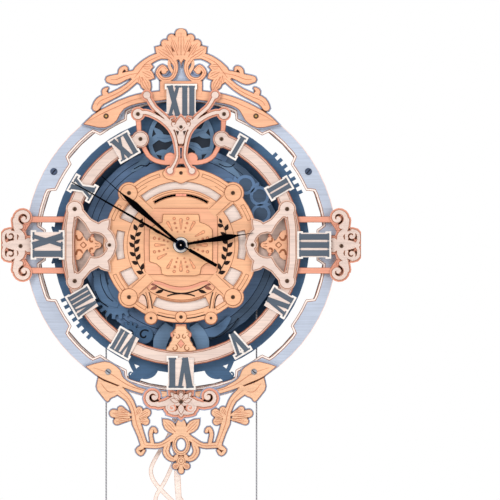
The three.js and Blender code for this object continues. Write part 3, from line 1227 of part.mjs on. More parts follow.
function counterweight() {
  const half = COUNTERWEIGHT_FRAME_WIDTH / 2;
  const radius = COUNTERWEIGHT_RADIUS;
  const down = ([across, share]) => [across, -COUNTERWEIGHT_LENGTH * share];
  const barrel = upright([
    [0, 1], [2.4, 0.975], [3, 0.942], [1.6, 0.909], [radius + 1, 0.884], [radius + 1, 0.702], [radius, 0.694],
    [radius, 0.446], [radius + 1, 0.438], [radius + 1, 0.256], [1.8, 0.231], [1.2, 0.099], [1.2, 0], [0, 0],
  ].map(down), 12);
  const side = ribbon([
    [radius - 2, 0.38], [half - 2, 0.413], [half - 5, 0.496], [half - 7.4, 0.57], [half - 5, 0.645],
    [half - 2, 0.727], [radius - 2, 0.76],
  ].map(down), [3.6, 4.4, 3.6, 3.4, 3.6, 4.4, 3.6], 16);
  const hook = ribbon([[0, 0.198], [3, 0.149], [0, 0.099]].map(down), [2.6, 2.6, 2.6], 8);
  const frames = [side, mirrored(side)].map((outline) => fretwork([outline], [-2, 2]));
  return joined([barrel, ...frames, slab(hook, [-1.2, 1.2])]);
}

function hangingCord(drop) {
  const section = new THREE.Shape(disc(0, 0, CORD_DIAMETER / 2, 8));
  const geometry = new THREE.ExtrudeGeometry(section, { depth: drop - RUNNING_GAP, bevelEnabled: false });
  geometry.translate(0, 0, -drop + RUNNING_GAP);
  return solid(geometry);
}

function drumCord() {
  const points = arc(CORD_RADIUS_ON_DRUM, 180, 0, 24).map((p) => new THREE.Vector3(p.x, 0, p.y));
  const path = new THREE.CatmullRomCurve3(points);
  const section = new THREE.Shape(disc(0, 0, CORD_DIAMETER / 2, 8));
  return solid(new THREE.ExtrudeGeometry(section, { steps: 20, bevelEnabled: false, extrudePath: path }));
}

const CORD_JOINT_GAP = 0.15;
function hangAt(side, drop) {
  return [side * CORD_RADIUS_ON_DRUM, -CORD_DEPTH, -drop];
}
add('main_weight', mainWeight(), column, hangAt(-1, MAIN_WEIGHT_TOP_DROP));
add('counterweight', counterweight(), column, hangAt(1, COUNTERWEIGHT_TOP_DROP));
add('left_cord', hangingCord(MAIN_WEIGHT_TOP_DROP), cordGrey, hangAt(-1, CORD_JOINT_GAP));
add('drum_cord', drumCord(), cordGrey, [0, -CORD_DEPTH, CORD_JOINT_GAP]);
add('right_cord', hangingCord(COUNTERWEIGHT_TOP_DROP), cordGrey, hangAt(1, CORD_JOINT_GAP));

export default clock;
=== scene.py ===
import math
import bmesh
import bpy
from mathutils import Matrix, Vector


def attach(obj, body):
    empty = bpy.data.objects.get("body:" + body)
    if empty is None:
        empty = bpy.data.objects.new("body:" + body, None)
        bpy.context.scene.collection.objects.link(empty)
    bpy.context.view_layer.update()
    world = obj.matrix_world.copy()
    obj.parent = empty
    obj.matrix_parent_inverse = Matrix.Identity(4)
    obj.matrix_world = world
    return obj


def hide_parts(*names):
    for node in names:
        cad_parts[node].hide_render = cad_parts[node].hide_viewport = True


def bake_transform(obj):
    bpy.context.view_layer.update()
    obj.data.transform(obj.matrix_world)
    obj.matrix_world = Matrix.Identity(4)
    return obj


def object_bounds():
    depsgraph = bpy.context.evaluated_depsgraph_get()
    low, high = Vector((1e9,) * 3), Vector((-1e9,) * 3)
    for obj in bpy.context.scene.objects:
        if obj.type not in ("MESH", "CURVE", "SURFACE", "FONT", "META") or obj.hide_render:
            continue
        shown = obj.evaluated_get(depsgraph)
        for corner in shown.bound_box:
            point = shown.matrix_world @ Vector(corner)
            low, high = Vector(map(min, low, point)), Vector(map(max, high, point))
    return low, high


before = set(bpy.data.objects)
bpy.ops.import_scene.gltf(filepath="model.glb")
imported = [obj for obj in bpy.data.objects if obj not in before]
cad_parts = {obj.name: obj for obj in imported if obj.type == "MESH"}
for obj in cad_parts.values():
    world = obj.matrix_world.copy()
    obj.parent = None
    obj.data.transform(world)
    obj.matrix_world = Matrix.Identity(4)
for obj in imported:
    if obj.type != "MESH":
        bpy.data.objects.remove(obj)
CAD_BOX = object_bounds()
scene = bpy.context.scene

# Flat pieces are given face on in millimetres, x right and y up from the hub, at a depth before the wall.
MM = 0.001
HUB_Z = -0.112


def at(x, y, depth):
    return (x * MM, -depth * MM, HUB_Z + y * MM)


# Camera: square on to the dial, with the hub left of the middle as in the photograph
FRAME_WIDTH = 0.41
DIAL_DEPTH = 50
LENS = 300
SENSOR = 36
CAMERA_RIGHT = 0.0566
CAMERA_DOWN = 0.0041
CLIP_END = 30
camera_data = bpy.data.cameras.new("camera")
camera_data.lens = LENS
camera_data.sensor_width = SENSOR
camera_data.clip_end = CLIP_END
camera = bpy.data.objects.new("camera", camera_data)
camera.location = (CAMERA_RIGHT, -(DIAL_DEPTH * MM + FRAME_WIDTH * LENS / SENSOR), HUB_Z - CAMERA_DOWN)
camera.rotation_euler = (math.pi / 2, 0, 0)
scene.collection.objects.link(camera)
scene.camera = camera


# Colours are written as seen on a screen, and shaders take them linear
def linear(colour):
    shares = [c / 255 for c in colour]
    return (*(s / 12.92 if s <= 0.04045 else ((s + 0.055) / 1.055) ** 2.4 for s in shares), 1.0)


# One colour at several places along a ramp, darker or lighter by a share at each
def shades(colour, *stops):
    return [(place, [min(255, c * share) for c in colour]) for place, share in stops]


# A shader node with its settings, and with inputs that are values or links from other nodes
def add(tree, kind, inputs=(), **settings):
    made = tree.nodes.new(f"ShaderNode{kind}")
    for name, value in settings.items():
        setattr(made, name, value)
    for name, value in dict(inputs).items():
        if isinstance(value, bpy.types.NodeSocket):
            tree.links.new(value, made.inputs[name])
        else:
            made.inputs[name].default_value = value
    return made


def noise(tree, stretch, detail):
    place = add(tree, "TexCoord").outputs["Object"]
    stretched = add(tree, "Mapping", {"Vector": place, "Scale": stretch}).outputs["Vector"]
    inputs = {"Vector": stretched, "Scale": 1.0, "Detail": detail, "Roughness": 0.6}
    return add(tree, "TexNoise", inputs).outputs["Fac"]


def ramp(tree, value, stops):
    made = add(tree, "ValToRGB", {"Fac": value})
    stops = [(place, linear(colour)) for place, colour in stops]
    elements = made.color_ramp.elements
    elements[0].position, elements[0].color = stops[0]
    elements[1].position, elements[1].color = stops[-1]
    for place, colour in stops[1:-1]:
        elements.new(place).color = colour
    return made.outputs["Color"]


def mixed(tree, factor, first, second, mode="MIX"):
    inputs = {"Factor": factor, "A": first, "B": second}
    return add(tree, "Mix", inputs, data_type="RGBA", blend_type=mode).outputs["Result"]


def ranged(tree, value, low, high, out_low=0.0, out_high=1.0):
    inputs = {"Value": value, "From Min": low, "From Max": high, "To Min": out_low, "To Max": out_high}
    return add(tree, "MapRange", inputs).outputs["Result"]


# How far a face looks along the clock's depth: 1 on the faces of a sheet and 0 on its cut edges
def facing(tree):
    normal = add(tree, "NewGeometry").outputs["True Normal"]
    depthwise = add(tree, "SeparateXYZ", {"Vector": normal}).outputs["Y"]
    return add(tree, "Math", {0: depthwise}, operation="ABSOLUTE").outputs["Value"]


def fresh(name):
    material = bpy.data.materials.new(name)
    material.use_nodes = True
    material.node_tree.nodes.clear()
    return material, material.node_tree


# A material of one colour, with a roughness and small bumps that follow one pattern
def finished(material, colour, pattern, rough, strength, height, span=(0.2, 0.8), shine=0.5, metallic=0.0):
    tree = material.node_tree
    bump = add(tree, "Bump", {"Strength": strength, "Distance": height, "Height": pattern})
    shader = add(tree, "BsdfPrincipled", {
        "Base Color": colour, "Roughness": ranged(tree, pattern, *span, *rough), "Metallic": metallic,
        "Specular IOR Level": shine, "Normal": bump.outputs["Normal"],
    })
    add(tree, "OutputMaterial", {"Surface": shader.outputs["BSDF"]})
    return material


# Wood: its grain, lighter between the fibres by a lift, under a stain that drifts slowly from pale to full
FULL = (255, 255, 255)


def stained(tree, fibres, drift, colour, grain, lift, pale):
    grained = ramp(tree, fibres, shades(colour, (0.3, 1 - grain), (0.55, 1), (0.8, 1 + grain * lift)))
    return mixed(tree, 1.0, grained, ramp(tree, drift, [(0.3, pale), (0.7, FULL)]), "MULTIPLY")


# Stained plywood: fine grain and a slowly drifting stain on its faces, scorched plies on its laser-cut edges
BURNT = (118, 78, 52)
PLY_GRAIN = (22, 760, 760)
PLY_DRIFT = (26, 26, 26)
PLIES = (60, 2100, 60)
PLY_SHINE = 0.25


def plywood(name, colour, edge=BURNT):
    material, tree = fresh(f"{name}_stain")
    fibres = noise(tree, PLY_GRAIN, 4.0)
    face = stained(tree, fibres, noise(tree, PLY_DRIFT, 2.0), colour, 0.07, 0.35, (238, 236, 236))
    scorched = ramp(tree, noise(tree, PLIES, 1.0), shades(edge, (0.38, 0.72), (0.5, 1), (0.66, 1.3)))
    colour = mixed(tree, ranged(tree, facing(tree), 0.45, 0.86), scorched, face)
    return finished(material, colour, fibres, (0.54, 0.72), 0.16, 0.0002, shine=PLY_SHINE)


# Turned or moulded wood, with grain all round
TURNED_GRAIN = (520, 520, 30)
TURNED_DRIFT = (40, 40, 24)


def turned_wood(name, colour, grain=0.09):
    material, tree = fresh(name)
    fibres = noise(tree, TURNED_GRAIN, 4.0)
    face = stained(tree, fibres, noise(tree, TURNED_DRIFT, 2.0), colour, grain, 0.4, (232, 228, 226))
    return finished(material, face, fibres, (0.44, 0.6), 0.14, 0.0002)


# A thin printed or scorched line, with the uneven tone of a laser pass
LASER_TONE = (420, 420, 420)


def line_colour(name, colour, rough=0.7, spread=0.12, shine=0.3):
    material, tree = fresh(name)
    tone = noise(tree, LASER_TONE, 2.0)
    shade = ramp(tree, tone, shades(colour, (0.3, 1 - spread), (0.7, 1 + spread)))
    limits = (rough - 0.08, rough + 0.08)
    return finished(material, shade, tone, limits, 0.1, 0.0001, shine=shine)


BRUSHED = (90, 900, 900)


def metal(name, colour, rough):
    material, tree = fresh(name)
    tone = noise(tree, BRUSHED, 3.0)
    shade = ramp(tree, tone, shades(colour, (0.25, 0.86), (0.75, 1.1)))
    return finished(material, shade, tone, (rough - 0.08, rough + 0.12), 0.08, 0.0001, metallic=1.0)


def cord_fibre(name, colour):
    material, tree = fresh(name)
    place = add(tree, "TexCoord").outputs["Object"]
    inputs = {"Vector": place, "Scale": 260, "Distortion": 1.2}
    twist = add(tree, "TexWave", inputs, bands_direction="DIAGONAL").outputs["Fac"]
    shade = ramp(tree, twist, shades(colour, (0.2, 0.72), (0.7, 1.12)))
    return finished(material, shade, twist, (0.75, 0.92), 0.5, 0.0001, (0.0, 1.0))


orange = plywood("orange", (246, 186, 149))
base_orange = plywood("base_orange", (244, 195, 158))
tan = plywood("tan", (244, 186, 146))
pale_tan = plywood("pale_tan", (248, 191, 147))
cream = plywood("cream", (232, 210, 199))
salmon = plywood("salmon", (237, 164, 138))
peach = plywood("peach", (244, 180, 144))
lavender = plywood("lavender", (190, 200, 218), (150, 128, 118))
dark_blue = plywood("dark_blue", (70, 102, 136), (34, 40, 52))
mid_blue = plywood("mid_blue", (88, 118, 152), (40, 50, 66))
flange_blue = plywood("flange_blue", (98, 126, 162), (28, 36, 48))
# Painted shade: a darker flange blue for the flange's shaded sector and for the shadow round the holed
# wheel's rings
painted_shade_blue = plywood("painted_shade_blue", (76, 98, 124), (20, 26, 36))
bright_blue = plywood("bright_blue", (110, 143, 184), (50, 66, 90))
light_blue = plywood("light_blue", (110, 140, 172), (44, 56, 74))
deep_blue = plywood("deep_blue", (34, 44, 58), (20, 24, 32))
slate = plywood("slate", (86, 98, 112), (52, 58, 70))
white = plywood("white", (252, 244, 238), (150, 116, 96))
taupe = plywood("taupe", (214, 188, 176))
taupe_pink = plywood("taupe_pink", (238, 200, 180))
window_cream = plywood("window_cream", (242, 223, 213))
pink_fill = plywood("pink_fill", (242, 222, 212))
pale_birch = plywood("pale_birch", (247, 231, 222), (206, 178, 164))
bob_blue = plywood("bob_blue", (122, 160, 205), (70, 84, 110))
backing_blue = plywood("backing_blue", (146, 160, 194), (110, 118, 146))
# Lavender for the edges of the backing layers, partly painted shadow below them
lavender_edge_and_shadow = plywood("lavender_edge_and_shadow", (168, 178, 202), (120, 120, 140))
column_wood = turned_wood("column_wood", (219, 160, 124))
cap_wood = turned_wood("cap_wood", (196, 132, 98))
white_wood = turned_wood("white_wood", (246, 236, 226), 0.04)
black_card = line_colour("black_card", (4, 4, 6), 0.8, shine=0.0)
brown_line = line_colour("brown_line", (150, 92, 62), shine=0.2)
soft_line = line_colour("soft_line", (188, 120, 90), shine=0.2)
vine_line = line_colour("vine_line", (206, 172, 156), shine=0.2)
dark_line = line_colour("dark_line", (62, 42, 36), shine=0.1)
laurel_black = line_colour("laurel_black", (34, 22, 20), shine=0.1)
umber_line = line_colour("umber_line", (134, 82, 70), shine=0.2)
salmon_line = line_colour("salmon_line", (232, 150, 128))
cream_line = line_colour("cream_line", (250, 234, 226), spread=0.03)
rim_line = line_colour("rim_line", (236, 204, 194), spread=0.04)
seam_line = line_colour("seam_line", (16, 22, 32), shine=0.1)
navy = line_colour("navy", (16, 26, 44), 0.6, shine=0.04)
drop_fill = line_colour("drop_fill", (226, 160, 122), shine=0.2)
screw_metal = metal("screw_metal", (92, 72, 58), 0.42)
blued_steel = metal("blued_steel", (70, 80, 100), 0.4)
steel = metal("steel", (150, 150, 156), 0.35)
brass = metal("brass", (190, 150, 88), 0.32)
cord_grey = cord_fibre("cord_grey", (156, 156, 162))


# Outlines
def polar(radius, degrees, x=0.0, y=0.0):
    angle = math.radians(degrees)
    return (x + radius * math.cos(angle), y + radius * math.sin(angle))


def arc(radius, start, stop, steps, x=0.0, y=0.0):
    return [polar(radius, start + (stop - start) * i / steps, x, y) for i in range(steps + 1)]


def circle(x, y, radius, sides=28):
    return arc(radius, 0, 360 - 360 / sides, sides - 1, x, y)


def box(left, low, right, high):
    return [(left, low), (right, low), (right, high), (left, high)]


def sided(outline, side):
    return [(side * x, y) for x, y in outline]


def mirrored(outline):
    return sided(outline, -1)


def flipped(outline):
    return [(x, -y) for x, y in outline]


def turned(outline, degrees):
    c, s = math.cos(math.radians(degrees)), math.sin(math.radians(degrees))
    return [(x * c - y * s, x * s + y * c) for x, y in outline]


def moved(outline, dx, dy):
    return [(x + dx, y + dy) for x, y in outline]


# A half outline from axis to axis, closed by its own image
def closed_by(image, half):
    return half + image(half[1:-1])[::-1]


# Where a smooth curve through four values stands, a share of the way from the second to the third
def between(a, b, c, d, t):
    square = 2 * a - 5 * b + 4 * c - d
    cube = 3 * b - a - 3 * c + d
    return 0.5 * (2 * b + (c - a) * t + square * t * t + cube * t ** 3)


# A smooth curve through points, open or closed
def curve(points, per_span=6, closed=False):
    count = len(points)
    spans = count if closed else count - 1

    def point(i):
        return points[i % count] if closed else points[max(0, min(i, count - 1))]

    out = []
    for i in range(spans):
        ends = [point(i + k) for k in (-1, 0, 1, 2)]
        out += [tuple(between(*values, k / per_span) for values in zip(*ends)) for k in range(per_span)]
    return out if closed else out + [tuple(points[-1])]


# A band along a line, of one width or of several in turn
def stroke(line, widths):
    if not isinstance(widths, list):
        widths = [widths, widths]
    left, right = [], []
    last = len(line) - 1
    for i, (x, y) in enumerate(line):
        (x0, y0), (x1, y1) = line[max(0, i - 1)], line[min(last, i + 1)]
        size = math.hypot(x1 - x0, y1 - y0) or 1.0
        along = i / last * (len(widths) - 1)
        k = min(int(along), len(widths) - 2)
        half = (widths[k] + (widths[k + 1] - widths[k]) * (along - k)) / 2
        dx, dy = -(y1 - y0) / size * half, (x1 - x0) / size * half
        left.append((x + dx, y + dy))
        right.append((x - dx, y - dy))
    return left + right[::-1]


def ribbon(points, widths, per_span=6):
    return stroke(curve(points, per_span), widths)


VOLUTE_STEPS = 22
VOLUTE_SHRINK = 0.72


def volute(x, y, radius, start, turn, widths):
    shares = [i / VOLUTE_STEPS for i in range(VOLUTE_STEPS + 1)]
    return stroke([polar(radius * (1 - VOLUTE_SHRINK * s), start + turn * s, x, y) for s in shares], widths)


LEAF_STEPS = 9
LEAF_FULLNESS = 0.8


def leaf(root, tip, width, bow=0.0):
    (x0, y0), (x1, y1) = root, tip
    length = math.hypot(x1 - x0, y1 - y0)
    ax, ay = (x1 - x0) / length, (y1 - y0) / length
    sides = []
    for sign in (1, -1):
        side = []
        for i in range(1, LEAF_STEPS):
            t = i / LEAF_STEPS
            w = sign * width / 2 * math.sin(math.pi * t ** LEAF_FULLNESS) + bow * math.sin(math.pi * t)
            side.append((x0 + ax * length * t - ay * w, y0 + ay * length * t + ax * w))
        sides.append(side)
    return [root, *sides[0], tip, *sides[1][::-1]]


def teardrop(outer, inner, big, small):
    angle = math.degrees(math.atan2(outer[1] - inner[1], outer[0] - inner[0]))
    return arc(big, angle - 90, angle + 90, 8, *outer) + arc(small, angle + 90, angle + 270, 5, *inner)


# A closed outline moved out by a distance, or in by a negative one. Outlines run counterclockwise and windows
# clockwise, so that out is always away from the material.
SHARPEST = 0.35
TINY = 1e-9


def offset(loop, distance):
    out = []
    count = len(loop)
    for i, (x, y) in enumerate(loop):
        (xa, ya), (xb, yb) = loop[i - 1], loop[(i + 1) % count]
        la = math.hypot(x - xa, y - ya) or TINY
        lb = math.hypot(xb - x, yb - y) or TINY
        na = ((y - ya) / la, -(x - xa) / la)
        nb = ((yb - y) / lb, -(xb - x) / lb)
        share = max(1 + na[0] * nb[0] + na[1] * nb[1], SHARPEST)
        out.append((x + (na[0] + nb[0]) / share * distance, y + (na[1] + nb[1]) / share * distance))
    return out


# An outline kept inside the CAD box
LEFT, RIGHT, HIGHEST = CAD_BOX[0][0] / MM, CAD_BOX[1][0] / MM, (CAD_BOX[1][2] - HUB_Z) / MM


def inside(loop):
    return [(min(max(x, LEFT), RIGHT), min(y, HIGHEST)) for x, y in loop]


# The loops round the foremost faces of a flat CAD node
SAME_FACE = 2e-5
MICRONS_IN_METRE = 1e6
MICRONS_IN_MM = 1000


def front_loops(node):
    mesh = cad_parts[node].data
    front = min(v.co.y for v in mesh.vertices)
    following = {}
    seen = set()
    for polygon in mesh.polygons:
        corners = list(polygon.vertices)
        if any(abs(mesh.vertices[i].co.y - front) > SAME_FACE for i in corners):
            continue
        for a, b in zip(corners, corners[1:] + corners[:1]):
            ends = [mesh.vertices[i].co for i in (a, b)]
            key = tuple(round(c * MICRONS_IN_METRE) for end in ends for c in (end.x, end.z))
            back = key[2:] + key[:2]
            if back in seen:
                seen.discard(back)
            else:
                seen.add(key)
    for key in seen:
        following.setdefault(key[:2], []).append(key[2:])
    loops = []
    while following:
        start = next(iter(following))
        loop, here = [], start
        while here in following:
            loop.append(here)
            there = following[here].pop()
            if not following[here]:
                del following[here]
            here = there
            if here == start:
                break
        loops.append([(x / MICRONS_IN_MM, z / MICRONS_IN_MM - HUB_Z / MM) for x, z in loop])
    return loops


# Stock collects shapes and becomes one piece. The heads of screws are shares of a radius, and heights.
HAIR = 0.006
HAIR_STEPS = 5
SUNK = 0.1
LINE = 0.13
ROUND_HEAD = ((0, -0.2), (1, -0.2), (1, 0.25), (0.86, 0.75), (0.6, 0.95), (0.5, 0.95), (0.42, 0.3), (0, 0.3))
FLAT_HEAD = ((0, -0.2), (1, -0.2), (1, 0.4), (0.88, 0.7), (0, 0.7))


class Stock:
    def __init__(self):
        self.points, self.faces, self.slots = [], [], []
        self.plates = 0

    def take(self, points, faces, slot):
        first = len(self.points)
        self.points += points
        self.faces += [tuple(first + i for i in face) for face in faces]
        self.slots += [slot] * len(faces)

    # Each plate stands a hair before the last, so that plates may overlap
    def plate(self, outline, back, front, slot=0):
        n = len(outline)
        front += HAIR * (self.plates % HAIR_STEPS)
        self.plates += 1
        points = [at(x, y, d) for d in (front, back) for x, y in outline]
        faces = [tuple(range(n)), tuple(range(2 * n - 1, n - 1, -1))]
        faces += [(i, (i + 1) % n, n + (i + 1) % n, n + i) for i in range(n)]
        self.take(points, faces, slot)

    # A thin plate sunk into a face at a depth
    def mark(self, outline, depth, slot=0, rise=LINE):
        self.plate(outline, depth - SUNK, depth + rise, slot)

    # A closed band between two loops of the same number of points
    def band(self, inner, outer, back, front, slot=0):
        n = len(inner)
        points = [at(x, y, d) for d in (front, back) for loop in (inner, outer) for x, y in loop]
        faces = []
        for i in range(n):
            j = (i + 1) % n
            faces.append((i, j, n + j, n + i))
            faces.append((2 * n + i, 3 * n + i, 3 * n + j, 2 * n + j))
            faces.append((i, 2 * n + i, 2 * n + j, j))
            faces.append((n + i, n + j, 3 * n + j, 3 * n + i))
        self.take(points, faces, slot)

    def outlined(self, outline, width, back, front, slot):
        self.band(offset(outline, -width / 2), offset(outline, width / 2), back, front, slot)

    def ring(self, x, y, inner, outer, back, front, slot=0, sides=36):
        self.band(circle(x, y, inner, sides), circle(x, y, outer, sides), back, front, slot)

    # A round shape from pairs of radius and height, with each point placed by a function
    def lathe(self, profile, place, slot, sides):
        points, rings, faces = [], [], []
        for radius, height in profile:
            count = sides if radius else 1
            rings.append([len(points) + k % count for k in range(sides)])
            points += [place(radius, 2 * math.pi * k / sides, height) for k in range(count)]
        for low, high in zip(rings, rings[1:]):
            for k in range(sides):
                j = (k + 1) % sides
                faces.append(tuple(dict.fromkeys((low[k], high[k], high[j], low[j]))))
        self.take(points, faces, slot)

    # A round shape on an axis square to the dial, from pairs of radius and depth
    def turned(self, profile, x, y, slot=0, sides=24):
        def place(radius, angle, depth):
            return at(x + radius * math.cos(angle), y + radius * math.sin(angle), depth)

        self.lathe(profile, place, slot, sides)

    # A round shape on an upright axis, with the radius changed by a function of angle
    def upright(self, profile, x, depth, slot=0, sides=32, shape=None):
        def place(radius, angle, height):
            r = radius * (shape(angle) if shape else 1.0)
            return at(x + r * math.cos(angle), height, depth + r * math.sin(angle))

        self.lathe(profile, place, slot, sides)

    # A round-headed screw with a driver recess, sitting on a face at a depth
    def screw(self, x, y, depth, radius, slot=0, recess=1):
        self.turned([(radius * r, depth + d) for r, d in ROUND_HEAD], x, y, slot, 20)
        self.plate(circle(x, y, radius * 0.4, 6), depth + 0.3, depth + 0.36, recess)

    # A flat-headed screw with a straight slot
    def slotted(self, x, y, depth, radius, angle, slot=0, groove=1):
        self.turned([(radius * r, depth + d) for r, d in FLAT_HEAD], x, y, slot, 24)
        ends = [polar(radius * 0.8, angle + half_turn, x, y) for half_turn in (0, 180)]
        self.plate(stroke(ends, radius * 0.3), depth + 0.65, depth + 0.74, groove)

    def make(self, name, materials, body="frame", bevel=0.0, smooth=None):
        mesh = bpy.data.meshes.new(name)
        mesh.from_pydata(self.points, [], self.faces)
        for material in materials:
            mesh.materials.append(material)
        mesh.polygons.foreach_set("material_index", self.slots)
        work = bmesh.new()
        work.from_mesh(mesh)
        bmesh.ops.recalc_face_normals(work, faces=work.faces)
        work.to_mesh(mesh)
        work.free()
        if smooth:
            mesh.shade_smooth()
            mesh.set_sharp_from_angle(angle=math.radians(smooth))
        piece = bpy.data.objects.new(name, mesh)
        scene.collection.objects.link(piece)
        if bevel:
            soften(piece, bevel)
        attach(piece, body)
        return piece


SOFT_ANGLE = 50


def soften(piece, width, segments=2):
    modifier = piece.modifiers.new("edge", "BEVEL")
    modifier.width = width * MM
    modifier.segments = segments
    modifier.limit_method = "ANGLE"
    modifier.angle_limit = math.radians(SOFT_ANGLE)
    modifier.harden_normals = False


# Cords: the weight's cord over the drum, in three stretches of three twisted strands
CORD_X = 62.0
CORD_DEPTH = 30.5
CORD_DIAMETER = 1.2
CORD_SIDES = 10
STRANDS = 3
STRAND_RELIEF = 0.06
STRAND_TWIST = 0.9
MAIN_TOP = -228.0
COUNTER_TOP = -390.0
MAIN_STEPS = 76
COUNTER_STEPS = 148
DRUM_STEPS = 60
DEPTHWISE = Vector((0, 1, 0))


def tube(name, path):
    points, faces = [], []
    count, sides = len(path), CORD_SIDES
    for i, p in enumerate(path):
        before, after = Vector(path[max(0, i - 1)]), Vector(path[min(count - 1, i + 1)])
        across = (after - before).normalized().cross(DEPTHWISE).normalized()
        for k in range(sides):
            angle = 2 * math.pi * k / sides
            relief = 1 + STRAND_RELIEF * math.cos(STRANDS * (angle + i * STRAND_TWIST))
            lay = CORD_DIAMETER / 2 * MM * relief
            points.append(Vector(p) + across * lay * math.cos(angle) + DEPTHWISE * lay * math.sin(angle))
    for i in range(count - 1):
        for k in range(sides):
            j = (k + 1) % sides
            faces.append((i * sides + k, i * sides + j, (i + 1) * sides + j, (i + 1) * sides + k))
    faces.append(tuple(range(sides))[::-1])
    faces.append(tuple(range((count - 1) * sides, count * sides)))
    mesh = bpy.data.meshes.new(name)
    mesh.from_pydata(points, [], faces)
    mesh.materials.append(cord_grey)
    mesh.shade_smooth()
    piece = bpy.data.objects.new(name, mesh)
    scene.collection.objects.link(piece)
    return piece


def hanging(name, x, drop, node, steps):
    path = [at(x, drop * i / steps, CORD_DEPTH) for i in range(steps + 1)]
    piece = tube(name, path)
    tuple(path[0])
    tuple(path[-1])
    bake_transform(piece)
    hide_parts(node)
    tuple(path[0])


hanging("main_weight_cord", -CORD_X, MAIN_TOP, "left_cord", MAIN_STEPS)
hanging("counterweight_cord", CORD_X, COUNTER_TOP, "right_cord", COUNTER_STEPS)
over = [at(x, y, CORD_DEPTH) for x, y in arc(CORD_X, 180, 0, DRUM_STEPS)]
over_drum = tube("cord_over_drum", over)
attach(over_drum, "frame")
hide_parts("drum_cord")
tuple(over[0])

# Floor, light and background
FLOOR_DROP = 0.16
FLOOR_HALF = 3
FLOOR_Z = CAD_BOX[0][2] - FLOOR_DROP
floor_mesh = bpy.data.meshes.new("floor")
floor_corners = box(-FLOOR_HALF, -FLOOR_HALF, FLOOR_HALF, FLOOR_HALF)
floor_mesh.from_pydata([(x, y, FLOOR_Z) for x, y in floor_corners], [], [(0, 1, 2, 3)])
floor = bpy.data.objects.new("floor", floor_mesh)
scene.collection.objects.link(floor)
floor_mesh.materials.append(line_colour("floor_paint", (244, 243, 241), 0.8, 0.01))

# The world is white to the eye and to shiny or clear surfaces, and a dimmer room to the rest
world = bpy.data.worlds.new("world")
scene.world = world
world.use_nodes = True
tree = world.node_tree
tree.nodes.clear()
rays = add(tree, "LightPath").outputs
seen_white = rays["Is Camera Ray"]
for ray in ("Is Glossy Ray", "Is Transmission Ray"):
    seen_white = add(tree, "Math", {0: seen_white, 1: rays[ray]}, operation="MAXIMUM").outputs[0]
room = add(tree, "Background", {"Color": (1.0, 0.985, 0.97, 1), "Strength": 0.5}).outputs[0]
backdrop = add(tree, "Background", {"Color": (1, 1, 1, 1), "Strength": 1.0}).outputs[0]
choice = add(tree, "MixShader", {0: seen_white, 1: room, 2: backdrop}).outputs[0]
add(tree, "OutputWorld", {"Surface": choice})
scene.view_settings.view_transform = "Standard"

LAMP_TARGET = Vector((0, -0.03, -0.2))


def lamp(name, place, power, size):
    data = bpy.data.lights.new(name, "AREA")
    data.energy = power
    data.size = size
    light = bpy.data.objects.new(name, data)
    light.location = place
    light.rotation_euler = (LAMP_TARGET - Vector(place)).to_track_quat("-Z", "Y").to_euler()
    scene.collection.objects.link(light)


lamp("key", (-1.1, -2.3, 0.9), 35, 1.2)
lamp("fill", (1.6, -1.9, -0.1), 18, 1.6)
lamp("back", (0.6, 2.2, 0.8), 30, 1.6)


# CAD nodes keep their shape and get their finish
def dress(material, *names, bevel=0.22):
    for name in names:
        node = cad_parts[name]
        node.data.materials.clear()
        node.data.materials.append(material)
        if bevel:
            soften(node, bevel, 1)


dress(lavender, "front_frame", "crown_backing")
dress(dark_blue, "rear_frame", "inner_ring", "middle_plate")
dress(mid_blue, "great_wheel", "first_arbor", "idler_wheel", "minute_arbor", "third_arbor", "escape_wheel",
      "motion_arbor", "hour_wheel", "anchor", bevel=0)
dress(flange_blue, "drum", bevel=0)
pillars = [f"{kind}_pillar_{i}" for kind in ("frame", "movement") for i in (1, 2, 3, 4)]
dress(brass, "seconds_arbor", *pillars, bevel=0)
dress(orange, "crown")
dress(base_orange, "base_ornament")
dress(cream, "base_scroll", "left_scroll", "right_scroll", "left_bracket", "right_bracket", "numeral_ring",
      "wishbone")
dress(pale_birch, "pendulum_rod")
dress(salmon, "left_side_backing", "right_side_backing", "ring_backing")
dress(white, *(f"numeral_{i}" for i in range(1, 13)), bevel=0.15)
dress(window_cream, "dial_base")
dress(tan, "dial_frame")
dress(black_card, "hour_hand", "minute_hand", "second_hand", bevel=0.15)
dress(bob_blue, "pendulum_bob")

# The foremost depths of the layers
REAR = 3.0
FRONT = 42.0
BASE = 45.0
CROWN = 47.0
BASE_SCROLL = 47.0
SIDE_BACKING = 47.5
RING_BACKING = 49.5
SCROLL = 49.5
DIAL = 49.5
RING = 51.5
NUMERAL = 53.0
BRACKET = 53.5

# How far edge lines stand proud and stay inside an edge, and how far a border reaches under its node
PROUD = 0.08
EDGE_GAP = 0.02
UNDERLAP = 0.3


# A closed strip along the front outlines of a CAD node, from one offset to another
def strip(name, node, inner, outer, back, front, material, body="frame"):
    stock = Stock()
    for loop in front_loops(node):
        if len(loop) > 2:
            stock.band(inside(offset(loop, inner)), inside(offset(loop, outer)), back, front)
    stock.make(name, [material], body)


def border(name, node, outer, back, front, material):
    strip(name, node, -UNDERLAP, outer, back, front, material)


# A line just inside a node's front outline. In brown it is the scorched laser edge and partly painted shadow
# along the border.
def edge_line(name, node, inset, depth, material=brown_line, body="frame"):
    strip(f"{name}_edge_line", node, -inset, -EDGE_GAP, depth - SUNK, depth + PROUD, material, body)
